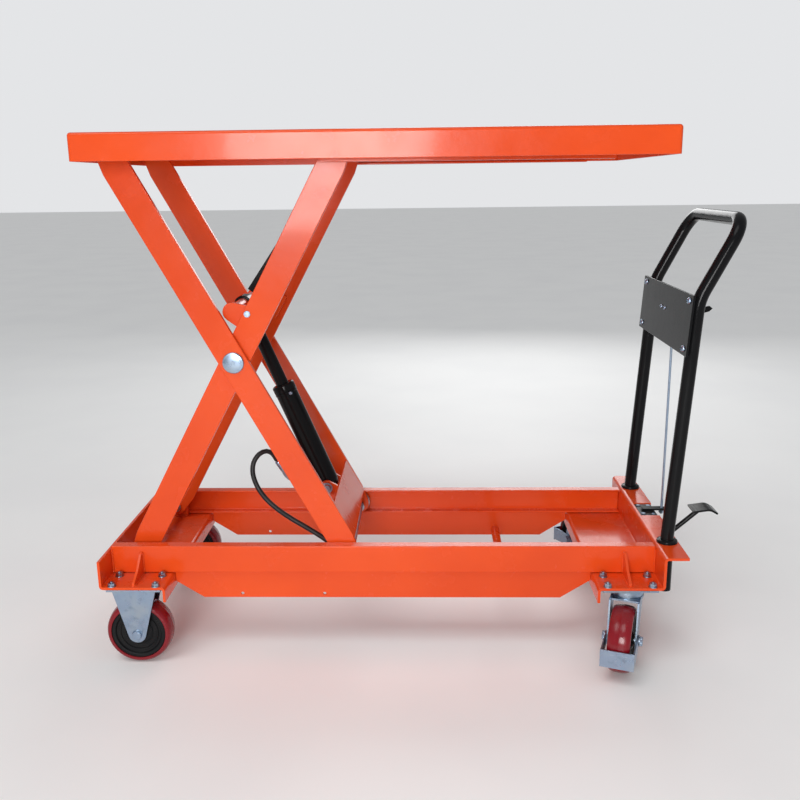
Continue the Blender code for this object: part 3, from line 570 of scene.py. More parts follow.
def refine(node: str, width: float = 0.0012, segments: int = 2) -> Shape:
    """A copy of a CAD node with merged corners, whole faces and soft edges.

    Args:
        node: the CAD node's name.
        width: how far the rounding reaches in from an edge.
        segments: how many facets the rounding has.

    Returns:
        The refined copy.
    """
    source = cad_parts[node]
    piece = bpy.data.objects.new(node + "_body", source.data.copy())
    bpy.context.scene.collection.objects.link(piece)
    with editing(piece):
        bpy.ops.mesh.select_all(action="SELECT")
        bpy.ops.mesh.remove_doubles(threshold=2e-5)
        bpy.ops.mesh.dissolve_limited(angle_limit=math.radians(0.6))
    return soften(piece, width, segments)


def settle(piece: Shape, place: Matrix) -> Shape:
    """Puts a piece at a place and leaves its object at the origin.

    Args:
        piece: the mesh to work on.
        place: where it stands.

    Returns:
        The same piece.
    """
    piece.data.transform(place @ piece.matrix_world)
    piece.matrix_world = Matrix.Identity(4)
    return piece


def copies(piece: Shape, places: Iterable[Matrix]) -> list[Shape]:
    """One copy of a piece, with its own mesh, at each place; the model piece is removed.

    Args:
        piece: the model piece, which is removed.
        places: where the copies stand.

    Returns:
        The copies, in the order of their places.
    """
    made = []
    for place in places:
        twin = bpy.data.objects.new(piece.name, piece.data.copy())
        bpy.context.scene.collection.objects.link(twin)
        twin.data.transform(place)
        if place.determinant() < 0:
            twin.data.flip_normals()
        made.append(twin)
    bpy.data.objects.remove(piece, do_unlink=True)
    return made


def joined(name: str, shapes: Sequence[Shape]) -> Shape:
    """Joins several shapes into one piece of the given name.

    Args:
        name: its name.
        shapes: what it is made of.

    Returns:
        The joined piece.
    """
    bpy.ops.object.select_all(action="DESELECT")
    for shape in shapes:
        shape.select_set(True)
    bpy.context.view_layer.objects.active = shapes[0]
    if len(shapes) > 1:
        bpy.ops.object.join()
    shapes[0].name = name
    return shapes[0]


def block(low: Point, high: Point, edge: float = 0.001, segments: int = 2) -> Shape:
    """A block between two corners with soft edges.

    Args:
        low: its lowest corner.
        high: its highest corner.
        edge: the width of the softened edges.
        segments: how many facets the rounding has.

    Returns:
        The block.
    """
    size = Vector(high) - Vector(low)
    bpy.ops.mesh.primitive_cube_add(size=1, location=Vector(low) + size / 2)
    piece = bpy.context.object
    piece.scale = size
    only(piece)
    bpy.ops.object.transform_apply(location=True, rotation=True, scale=True)
    return soften(piece, edge, segments)


def towards(start: Point, end: Point) -> Matrix:
    """A place at start whose +Z points to end."""
    run = Vector(end) - Vector(start)
    return Matrix.Translation(start) @ run.to_track_quat("Z", "Y").to_matrix().to_4x4()


def lathe(profile: Sequence[Point], place: Matrix, steps: int = 48, ring: bool = False) -> Shape:
    """Spins a (radius, height) profile about +Z.

    Args:
        profile: points down the outer side, starting and ending on the axis unless it is a ring.
        place: where the turned piece stands.
        steps: facets round the turn.
        ring: True closes the profile on itself.

    Returns:
        The turned piece.
    """
    points = [Vector((radius, 0, height)) for radius, height in profile]
    if ring:
        points.append(points[0])
    bpy.ops.mesh.primitive_plane_add(size=0.001, location=(0, 0, 0))
    piece = bpy.context.object
    with editing(piece):
        bpy.ops.mesh.select_all(action="SELECT")
        bpy.ops.mesh.merge(type="CENTER")
        bpy.ops.transform.translate(value=points[0])
        for before, after in zip(points, points[1:]):
            bpy.ops.mesh.extrude_region_move(TRANSFORM_OT_translate={"value": after - before})
        bpy.ops.mesh.select_all(action="SELECT")
        bpy.ops.mesh.spin(steps=steps, angle=math.tau, center=(0, 0, 0), axis=(0, 0, 1))
        bpy.ops.mesh.select_all(action="SELECT")
        bpy.ops.mesh.remove_doubles(threshold=1e-6)
        bpy.ops.mesh.normals_make_consistent(inside=False)
    bpy.ops.object.shade_smooth_by_angle(angle=math.radians(32))
    return settle(piece, place)


def round_bar(start: Point, end: Point, radius: float, chamfer: float = 0.0008, steps: int = 40) -> Shape:
    """A round bar with chamfered ends.

    Args:
        start: its first end.
        end: its last end.
        radius: its outer radius.
        chamfer: the width of the end chamfers.
        steps: how many facets a turn has.

    Returns:
        The bar.
    """
    long = (Vector(end) - Vector(start)).length
    profile = [(0, long), (radius - chamfer, long), (radius, long - chamfer), (radius, chamfer),
               (radius - chamfer, 0), (0, 0)]
    return lathe(profile, towards(start, end), steps)


def hexagon(radius: float, height: float, place: Matrix) -> Shape:
    """A hexagon nut or head with rounded corners, standing on its place.

    Args:
        radius: its radius over the corners.
        height: its height.
        place: where it stands.

    Returns:
        The hexagon.
    """
    bpy.ops.mesh.primitive_cylinder_add(vertices=6, radius=radius, depth=height, location=(0, 0, height / 2))
    piece = bpy.context.object
    with editing(piece, "FACE"):
        pick_faces(piece, lambda centre, normal: normal.z > 0.9)
        bpy.ops.mesh.inset(thickness=radius * 0.13)
        bpy.ops.transform.translate(value=(0, 0, height * 0.10))
    soften(piece, radius * 0.05)
    return settle(piece, place)


def threads(radius: float, height: float, place: Matrix, pitch: float = 0.00125) -> Shape:
    """A stud's threaded end, with its ridges modelled.

    Args:
        radius: its outer radius.
        height: the length of the thread.
        place: where it stands.
        pitch: the distance between two ridges.

    Returns:
        The threaded end.
    """
    turns = max(2, round(height / pitch))
    profile: list[Point] = [(0, height), (radius * 0.8, height)]
    for turn in range(turns):
        top = height - (turn + 0.5) * height / turns
        profile += [(radius, top), (radius * 0.88, top - height / turns / 2)]
    return lathe([*profile, (0, 0)], place, 16)


def washer(radius: float, height: float, place: Matrix) -> Shape:
    """A flat washer with an eased rim."""
    eased = [(0, height), (radius - 0.0004, height), (radius, height - 0.0004), (radius, 0), (0, 0)]
    return lathe(eased, place, 32)


def nut_and_stud(radius: float, place: Matrix) -> Shape:
    """A washer, a hexagon nut and the stud's end above it, standing on its place.

    Args:
        radius: the nut's radius over its corners.
        place: where it stands.

    Returns:
        The joined nut, washer and stud.
    """
    up = Matrix.Translation((0, 0, 0.0014))
    tip = Matrix.Translation((0, 0, 0.0014 + radius * 0.8))
    shapes = [washer(radius * 1.28, 0.0014, place), hexagon(radius, radius * 0.8, place @ up),
              threads(radius * 0.52, radius * 0.50, place @ tip)]
    return joined("nut", shapes)


def dome_bolt(radius: float, place: Matrix) -> Shape:
    """A round headed bolt with a sunk middle, standing on its place.

    Args:
        radius: its outer radius.
        place: where it stands.

    Returns:
        The bolt's head.
    """
    profile = [
        (0, radius * 0.36), (radius * 0.40, radius * 0.36), (radius * 0.42, radius * 0.68),
        (radius * 0.62, radius * 0.62), (radius * 0.85, radius * 0.40), (radius * 0.97, radius * 0.14),
        (radius, 0), (0, 0),
    ]
    return lathe(profile, place, 24)


def tube(points: Sequence[Point], radius: float | Callable[[int], float], rounds: int = 6) -> Shape:
    """A round tube along points, as a closed mesh.

    Args:
        points: the centre line.
        radius: the tube's radius, or a function that gives it at each point.
        rounds: the curve's bevel resolution.

    Returns:
        The tube.
    """
    wide = max(radius(i) for i in range(len(points))) if callable(radius) else radius
    curve = bpy.data.curves.new("tube", "CURVE")
    curve.dimensions = "3D"
    curve.bevel_depth = wide
    curve.bevel_resolution = rounds
    curve.use_fill_caps = True
    spline = curve.splines.new("POLY")
    spline.points.add(len(points) - 1)
    for index, (made, point) in enumerate(zip(spline.points, points)):
        made.co = (*point, 1)
        made.radius = radius(index) / wide if callable(radius) else 1.0
    piece = bpy.data.objects.new("tube", curve)
    bpy.context.scene.collection.objects.link(piece)
    only(piece)
    bpy.ops.object.convert(target="MESH")
    piece = bpy.context.object
    with editing(piece):
        bpy.ops.mesh.select_all(action="SELECT")
        bpy.ops.mesh.remove_doubles(threshold=1e-6)
        bpy.ops.mesh.normals_make_consistent(inside=False)
    bpy.ops.object.shade_smooth_by_angle(angle=math.radians(50))
    return piece


def weld(start: Point, end: Point, size: float = 0.0022) -> Shape:
    """A rippled weld bead from one point to the other.

    Args:
        start: its first end.
        end: its last end.
        size: the bead's half width.

    Returns:
        The bead.
    """
    first, last = Vector(start), Vector(end)
    count = max(6, round((last - first).length / (size * 0.55)))
    points = [first.lerp(last, step / count) for step in range(count + 1)]
    return tube(points, lambda i: size * (0.82 + 0.20 * math.sin(i * 2.1) + 0.06 * math.sin(i * 0.7)), 2)


def filleted(points: Sequence[Point], radii: Sequence[float], steps: int) -> list[Vector]:
    """Rounds the inner corners of a path, each with its own radius.

    Args:
        points: the points along the path.
        radii: one radius for each inner corner.
        steps: how many points a corner gets.

    Returns:
        The rounded path.
    """
    path = [Vector(p) for p in points]
    made = [path[0]]
    for before, corner, after, radius in zip(path, path[1:], path[2:], radii):
        back = (before - corner).normalized()
        on = (after - corner).normalized()
        half = back.angle(on) / 2
        reach = radius / math.tan(half)
        middle = corner + (back + on).normalized() * (radius / math.sin(half))
        start = corner + back * reach - middle
        end = corner + on * reach - middle
        made += [middle + start.slerp(end, step / steps).normalized() * radius for step in range(steps + 1)]
    made.append(path[-1])
    return made


def smooth_route(points: Sequence[Point], spacing: float) -> list[Vector]:
    """Points at about the given spacing on a smooth curve through the route's own points.

    Args:
        points: the points along the path.
        spacing: the distance between two points.

    Returns:
        The points of the curve.
    """
    route = [Vector(p) for p in points]
    route = [route[0] * 2 - route[1]] + route + [route[-1] * 2 - route[-2]]
    made = []
    for a, b, c, d in zip(route, route[1:], route[2:], route[3:]):
        steps = max(1, round((c - b).length / spacing))
        for step in range(steps):
            t = step / steps
            made.append((2 * b + (c - a) * t + (2 * a - 5 * b + 4 * c - d) * t**2
                         + (3 * b - a - 3 * c + d) * t**3) / 2)
    made.append(route[-2])
    return made


def at(x: float, y: float, z: float) -> Matrix:
    """A plain translation."""
    return Matrix.Translation((x, y, z))


def facing(x: float, y: float, z: float, side: Side) -> Matrix:
    """A place on an outer side face, whose +Z points away from the middle plane."""
    return at(x, y, z) @ Matrix.Rotation(math.radians(-90 * side.value), 4, "X")


def snap_ring(x: float, y: float, z: float, side: Side) -> Shape:
    """A retaining ring in its groove near a shaft's end."""
    profile = [(0.0076, 0.0010), (0.0112, 0.0010), (0.0112, 0), (0.0076, 0)]
    return lathe(profile, facing(x, y, z, side), 28, ring=True)


class Workshop:
    """Dresses finished shapes and hangs them on the frame's bodies."""

    def __init__(self) -> None:
        """Builds the shared groups and every finish."""
        shop = Shop(coat_group(), dust_group(), scuff_group(), plating_group())
        self.materials = {look: finish.build(shop) for look, finish in FINISHES.items()}
        self.count = 0

    def dress(self, piece: Shape, name: str, look: Look, nodes: Sequence[str] = ()) -> Shape:
        """Names a piece, gives it its finish and hides the CAD nodes that it stands for.

        Args:
            piece: the finished shape.
            name: the piece's name.
            look: its finish, which is also its material slot.
            nodes: the CAD nodes that it replaces.

        Returns:
            The same piece.
        """
        settle(piece, Matrix.Identity(4))
        piece.name = name
        piece.data.name = name
        piece.data.materials.clear()
        piece.data.materials.append(self.materials[look])
        if nodes:
            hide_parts(*nodes)
        self.count += 1
        LOG.info("%s: %d faces", name, len(piece.data.polygons))
        return piece

    def hang(self, piece: Shape, name: str, look: Look, body: str, nodes: Sequence[str] = ()) -> Shape:
        """Dresses a piece and lets it ride on a body.

        Args:
            piece: the mesh to work on.
            name: the piece's name.
            look: its finish.
            body: the body it rides on.
            nodes: the CAD nodes that it replaces.

        Returns:
            The same piece.
        """
        self.dress(piece, name, look, nodes)
        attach(piece, body)
        return piece

    def carry(self, node: str, look: Look, body: str, width: float = 0.0012, segments: int = 2) -> Shape:
        """Shows a CAD node as a refined piece of its own."""
        return self.hang(refine(node, width, segments), f"{node}_metal", look, body, [node])


# ---------------------------------------------------------------- sub-assemblies
@dataclass
class Platform:
    """The table top with its roller tracks, lugs and hinge shaft."""

    left: float = -0.5893
    right: float = 0.4267
    half_width: float = 0.255
    top: float = 0.990
    lip_low: float = 0.943
    corner: float = 0.007
    fold: float = 0.0055
    wall: float = 0.0032
    pivot_x: float = -0.565
    pivot_z: float = 0.9647

    def deck(self) -> Shape:
        """The pan: rounded corners, folded edges, open underneath.

        Returns:
            The pan.
        """
        length = self.right - self.left
        depth = self.top - self.lip_low
        middle = (self.left + length / 2, 0, self.lip_low + depth / 2)
        bpy.ops.mesh.primitive_cube_add(size=1, location=middle)
        piece = bpy.context.object
        piece.scale = (length, 2 * self.half_width, depth)
        only(piece)
        bpy.ops.object.transform_apply(location=True, rotation=True, scale=True)
        with editing(piece, "EDGE"):
            pick_edges(piece, lambda a, b: abs(a.z - b.z) > 0.01)
            bpy.ops.mesh.bevel(offset=self.corner, segments=5, affect="EDGES")
            bpy.ops.mesh.select_all(action="DESELECT")
            pick_edges(piece, lambda a, b: min(a.z, b.z) > self.top - 0.001)
            bpy.ops.mesh.bevel(offset=self.fold, segments=5, affect="EDGES")
            bpy.ops.mesh.select_mode(type="FACE")
            bpy.ops.mesh.select_all(action="DESELECT")
            pick_faces(piece, lambda centre, normal: normal.z < -0.9)
            bpy.ops.mesh.delete(type="FACE")
        only(piece)
        shell = piece.modifiers.new("Sheet", "SOLIDIFY")
        shell.thickness = self.wall
        shell.offset = -1
        shell.use_even_offset = True
        bpy.ops.object.modifier_apply(modifier=shell.name)
        return soften(piece, 0.0008, 2, 50)

    def build(self, shop: Workshop) -> None:
        """Makes and hangs the platform's pieces.

        Args:
            shop: the workshop that dresses and hangs the pieces.
        """
        shop.hang(self.deck(), "platform_deck", Look.ORANGE, "platform", ["table_top"])
        for side in Side:
            shop.carry(f"roller_track_{side.word}", Look.ORANGE, "platform", 0.0008)
            shop.carry(f"platform_lug_{side.word}", Look.ORANGE, "platform", 0.001)
            y = side.value * 0.1577
            beads = [weld((self.pivot_x - 0.016, y, 0.9850), (self.pivot_x + 0.022, y, 0.9850))]
            track_y = side.value * 0.1565
            for step in range(5):
                x = -0.150 + step * 0.108
                beads.append(weld((x, track_y, 0.9850), (x + 0.035, track_y, 0.9850)))
            shop.hang(joined("beads", beads), f"platform_welds_{side.word}", Look.ORANGE, "platform")
        shaft = round_bar((self.pivot_x, -0.159, self.pivot_z), (self.pivot_x, 0.159, self.pivot_z), 0.0079)
        shop.hang(shaft, "platform_hinge_shaft", Look.ZINC, "platform", ["platform_shaft"])


@dataclass
class Scissor:
    """Inner and outer legs with their shafts, centre discs, rollers and the folded prop."""

    centre: Point = (-0.35583, 0.0, 0.5776)
    roller_x: float = -0.14665
    low_z: float = 0.1905
    high_z: float = 0.9647
    left_x: float = -0.565
    pin_face: float = 0.1463

    def legs(self, shop: Workshop) -> None:
        """The four flat bar legs with eased edges.

        Args:
            shop: the workshop that dresses and hangs the pieces.
        """
        for side in Side:
            shop.carry(f"inner_leg_{side.word}", Look.ORANGE, "inner_legs", 0.0016, 3)
            shop.carry(f"outer_leg_{side.word}", Look.ORANGE, "outer_legs", 0.0016, 3)

    def centre_disc(self, side: Side) -> Shape:
        """The centre pin's stepped, plated head with its shank.

        Args:
            side: which side of the table it is on.

        Returns:
            The pin.
        """
        profile = [
            (0, 0.0042), (0.0030, 0.0042), (0.0038, 0.0048), (0.0150, 0.0048), (0.0165, 0.0042),
            (0.0186, 0.0040), (0.0199, 0.0030), (0.0200, 0.0008), (0.0196, 0.0), (0.0098, 0.0),
            (0.0098, -0.0240), (0, -0.0240),
        ]
        x, _, z = self.centre
        return lathe(profile, facing(x, side.value * self.pin_face, z, side), 64)

    def roller(self, y: float, z: float, radius: float) -> Shape:
        """A track roller with chamfered rims, a recessed face and its bore.

        Args:
            y: its place across the table.
            z: its height.
            radius: its running radius.

        Returns:
            The roller.
        """
        half = 0.0071
        profile = [
            (0.0082, half - 0.0004), (0.0125, half), (0.0135, half - 0.0014),
            (radius - 0.004, half - 0.0014),
            (radius - 0.003, half), (radius - 0.0010, half - 0.0004), (radius, half - 0.0016),
            (radius, -half + 0.0016), (radius - 0.0010, -half + 0.0004), (radius - 0.003, -half),
            (radius - 0.004, -half + 0.0014), (0.0135, -half + 0.0014), (0.0125, -half),
            (0.0082, -half + 0.0004),
        ]
        return lathe(profile, facing(self.roller_x, y, z, Side.FAR), 48, ring=True)

    def build(self, shop: Workshop) -> None:
        """Makes and hangs the scissor's pieces.

        Args:
            shop: the workshop that dresses and hangs the pieces.
        """
        self.legs(shop)
        for side in Side:
            shop.hang(self.centre_disc(side), f"centre_disc_{side.word}", Look.ZINC, "outer_legs",
                      [f"centre_pin_{side.word}"])
            rollers = (("lower", self.low_z, 0.022, 0.158), ("upper", self.high_z, 0.021, 0.142))
            for level, z, radius, y in rollers:
                node = f"{level}_roller_{side.word}"
                shop.hang(self.roller(side.value * y, z, radius), f"{node}_wheel", Look.STEEL, node, [node])
            bolt = joined("bolt", [
                washer(0.0062, 0.0012, facing(-0.3278, side.value * 0.1333, 0.6675, side)),
                hexagon(0.0052, 0.0012, facing(-0.3278, side.value * 0.1345, 0.6675, side)),
            ])
            shop.hang(bolt, f"leg_bolt_{side.word}", Look.ZINC, "inner_legs")
        shafts = (
            ("foot_shaft", self.left_x, self.low_z, 0.148, "inner_legs"),
            ("upper_roller_shaft", self.roller_x, self.high_z, 0.1505, "inner_legs"),
            ("lower_roller_shaft", self.roller_x, self.low_z, 0.1662, "outer_legs"),
        )
        for node, x, z, reach, body in shafts:
            bar = round_bar((x, -reach, z), (x, reach, z), 0.0079)
            rings = [snap_ring(x, side.value * 0.1170, z, side) for side in Side]
            shop.hang(joined("shaft", [bar, *rings]), f"{node}_bar", Look.ZINC, body, [node])
        shop.carry("safety_prop", Look.BLACK, "safety_prop", 0.0009)


@dataclass
class Cylinder:
    """The hydraulic cylinder, its cross beam, head shafts and hose elbow."""

    foot: Point = (-0.200372, 0.0, 0.289914)
    head: Point = (-0.358169, 0.0, 0.670026)
    barrel_radius: float = 0.0223
    barrel_length: float = 0.232
    rod_radius: float = 0.0128
    elbow: Point = (-0.28145, 0.0, 0.29738)
    hose_start: Point = (-0.3050, -0.0200, 0.3470)

    def barrel(self) -> Shape:
        """The barrel: domed base, long tube, grooved gland nut and wiper ring.

        Returns:
            The barrel.
        """
        r, s = self.barrel_radius, self.barrel_length
        profile = [
            (0, 0.030), (0.0134, 0.030), (0.0134, s - 0.001), (0.0160, s), (0.0205, s - 0.0003),
            (0.0226, s - 0.0022),
            (0.0232, s - 0.0036), (0.0232, s - 0.0150), (0.0226, s - 0.0156), (0.0226, s - 0.0168),
            (0.0232, s - 0.0174), (0.0232, s - 0.0205), (r, s - 0.0214), (r, 0.014),
            (r + 0.0001, 0.0080), (0.0215, 0.000), (0.0190, -0.0065), (0.0135, -0.0120),
            (0.0060, -0.0152), (0, -0.0158),
        ]
        return lathe(profile, towards(self.foot, self.head), 64)

    def rod(self) -> Shape:
        """The rod with its cross eye and end cap.

        Returns:
            The rod.
        """
        foot, head = Vector(self.foot), Vector(self.head)
        long = (head - foot).length
        r = self.rod_radius
        profile = [(0, long - 0.004), (r, long - 0.006), (r, 0.166), (r - 0.001, 0.165), (0, 0.165)]
        rod = lathe(profile, towards(self.foot, self.head), 48)
        eye = [
            (0, 0.0195), (0.0105, 0.0195), (0.0110, 0.0185), (0.0165, 0.0185), (0.0178, 0.0172),
            (0.0178, -0.0172), (0.0165, -0.0185), (0.0110, -0.0185), (0.0105, -0.0195), (0, -0.0195),
        ]
        cross = lathe(eye, facing(*self.head, Side.FAR), 48)
        return joined("rod", [rod, cross])

    def hose_elbow(self) -> Shape:
        """The hose's elbow: hexagon union, bent pipe, swivel nut and crimped ferrule.

        Returns:
            The joined elbow.
        """
        axis = (Vector(self.head) - Vector(self.foot)).normalized()
        side = Vector((-axis.z, 0, axis.x))
        start = Vector(self.foot) + axis * 0.038 + side * (self.barrel_radius - 0.003)
        elbow, end = Vector(self.elbow), Vector(self.hose_start)
        run = (end - elbow).normalized()
        pipe = tube(filleted([start, elbow, elbow + run * 0.034], [0.009], 8), 0.0056, 6)
        union = hexagon(0.0082, 0.010, towards(start + side * 0.008, elbow))
        nut = hexagon(0.0070, 0.011, towards(elbow + run * 0.012, end))
        grooves: list[Point] = [(0, 0.0285), (0.0052, 0.0285)]
        for step in range(5):
            z = 0.0268 - step * 0.0050
            grooves += [(0.0064, z), (0.0064, z - 0.0022), (0.0058, z - 0.0028), (0.0058, z - 0.0040)]
        crimp = lathe([*grooves, (0.0060, 0.0), (0, 0.0)], towards(elbow + run * 0.0262, end), 32)
        return joined("elbow", [pipe, union, nut, crimp])

    def build(self, shop: Workshop) -> None:
        """Makes and hangs the cylinder's pieces.

        Args:
            shop: the workshop that dresses and hangs the pieces.
        """
        shop.hang(self.barrel(), "cylinder_tube", Look.BLACK, "cylinder_barrel", ["cylinder_barrel"])
        shop.hang(self.hose_elbow(), "hose_elbow", Look.ZINC, "cylinder_barrel")
        bleed = hexagon(0.0036, 0.0030, towards((-0.2690, -0.0225, 0.4900), (-0.2710, -0.0265, 0.4892)))
        shop.hang(bleed, "bleed_screw", Look.ZINC, "cylinder_barrel")
        shop.hang(self.rod(), "cylinder_plunger", Look.BLACK, "cylinder_rod", ["cylinder_rod"])
        shop.carry("cylinder_beam", Look.ORANGE, "outer_legs", 0.0011)
        for side in Side:
            shop.carry(f"head_shaft_{side.word}", Look.ORANGE, "inner_legs", 0.0010)
            pin = joined("pin_end", [
                lathe([(0, 0.0015), (0.0062, 0.0015), (0.0070, 0.0), (0, 0.0)],
                      facing(self.foot[0], side.value * 0.0380, self.foot[2], side), 28),
                snap_ring(self.foot[0], side.value * 0.0340, self.foot[2], side),
            ])
            shop.hang(pin, f"foot_pin_end_{side.word}", Look.ZINC, "outer_legs")


@dataclass
class Hose:
    """The pressure hose: a loop beside the cylinder and a low run to the pump."""

    radius: float = 0.0050
    loop: tuple[Point, ...] = (
        (-0.3050, -0.0200, 0.3470), (-0.3120, -0.0260, 0.3620), (-0.3225, -0.0340, 0.3700),
        (-0.3365, -0.0420, 0.3660), (-0.3475, -0.0490, 0.3500), (-0.3490, -0.0550, 0.3280),
        (-0.3400, -0.0615, 0.3030), (-0.3230, -0.0680, 0.2800), (-0.3000, -0.0740, 0.2600),
        (-0.2700, -0.0800, 0.2405), (-0.2380, -0.0860, 0.2230), (-0.2030, -0.0940, 0.2030),
        (-0.1750, -0.1020, 0.1830),
    )
    run: tuple[Point, ...] = (
        (-0.1742, -0.1022, 0.1823), (-0.1450, -0.1080, 0.1660), (-0.1000, -0.1140, 0.1500),
        (-0.0450, -0.1160, 0.1420), (0.0200, -0.1160, 0.1390), (0.1000, -0.1160, 0.1382),
        (0.1628, -0.1155, 0.1370), (0.2250, -0.1130, 0.1310), (0.2800, -0.1050, 0.1230),
        (0.3270, -0.0830, 0.1190), (0.3620, -0.0520, 0.1195), (0.3870, -0.0200, 0.1225),
        (0.4070, 0.0030, 0.1245), (0.4295, 0.0080, 0.1250),
    )

    def length(self, path: Sequence[Vector]) -> float:
        """The length of a path."""
        return sum((b - a).length for a, b in zip(path, path[1:]))

    def build(self, shop: Workshop) -> None:
        """Makes the two lengths of hose and the clip between them.

        Args:
            shop: the workshop that dresses and hangs the pieces.
        """
        upper = smooth_route(self.loop, 0.008)
        piece = shop.dress(tube(upper, self.radius, 6), "hose_upper", Look.RUBBER, ["hose_loop"])
        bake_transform(piece)
        lower = smooth_route(self.run, 0.010)
        piece = shop.dress(tube(lower, self.radius, 6), "hose_lower", Look.RUBBER, ["hose_run"])
        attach(piece, "base")
        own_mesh(piece)
        middle = Vector(self.run[0])
        ahead = (Vector(self.run[1]) - middle).normalized()
        band = lathe([(0.0052, 0.0045), (0.0066, 0.0045), (0.0066, -0.0045), (0.0052, -0.0045)],
                     towards(middle, middle + ahead), 24, ring=True)
        low = (middle.x - 0.006, -0.1358, middle.z - 0.001)
        high = (middle.x + 0.006, -0.1075, middle.z + 0.0015)
        tab = block(low, high, 0.0006)
        shop.hang(joined("clip", [band, tab]), "hose_clip", Look.ZINC, "outer_legs")


@dataclass
class BaseFrame:
    """Rails, skirts, cross plates, cross tube and lugs."""

    rail_y: float = 0.171
    seat: float = 0.1626
    skirt_y: float = 0.1628
    rail_ends: Point = (-0.6105, 0.4440)
    gussets: Point = (-0.5526, 0.386)
    stitches: Point = (-0.470, -0.330, -0.190, -0.050, 0.090, 0.230)
    lug_faces: Point = (0.1357, 0.1463)
    lug_ends: Point = (-0.585, -0.545)

    def welds(self) -> Shape:
        """Beads where rails, gussets and skirts meet the cross plates.

        Returns:
            The joined beads.
        """
        beads = []
        for side in Side:
            out = side.value
            y = out * (self.rail_y + 0.0004)
            for middle in self.gussets:
                for x in (middle - 0.0027, middle + 0.0027):
                    beads.append(weld((x, y + out * 0.004, self.seat), (x, y + out * 0.058, self.seat)))
                    beads.append(weld((x, y, 0.1650), (x, y, 0.2060)))
            for x in self.rail_ends:
                beads.append(weld((x, y, 0.1650), (x, y, 0.2130)))
            for x in self.stitches:
                beads.append(weld((x, out * self.skirt_y, 0.1636), (x + 0.045, out * self.skirt_y, 0.1636)))
            for face in self.lug_faces:
                beads.append(weld(*((x, out * face, 0.1629) for x in self.lug_ends)))
        return joined("beads", beads)

    def build(self, shop: Workshop) -> None:
        """Makes and hangs the base frame's pieces.

        Args:
            shop: the workshop that dresses and hangs the pieces.
        """
        for side in Side:
            shop.carry(f"rail_{side.word}", Look.ORANGE, "base", 0.0018, 3)
            shop.carry(f"skirt_{side.word}", Look.ORANGE, "base", 0.0009)
            shop.carry(f"pivot_lug_{side.word}", Look.ORANGE, "base", 0.0010)
        shop.carry("fixed_end_plate", Look.ORANGE, "base", 0.0009)
        shop.carry("handle_end_plate", Look.ORANGE, "base", 0.0009)
        tie = round_bar((0.1628, -0.1572, 0.1195), (0.1628, 0.1572, 0.1195), 0.0094, 0.0006)
        shop.hang(tie, "skirt_tie_tube", Look.ORANGE, "base", ["skirt_cross_tube"])
        shop.hang(self.welds(), "base_welds", Look.ORANGE, "base")


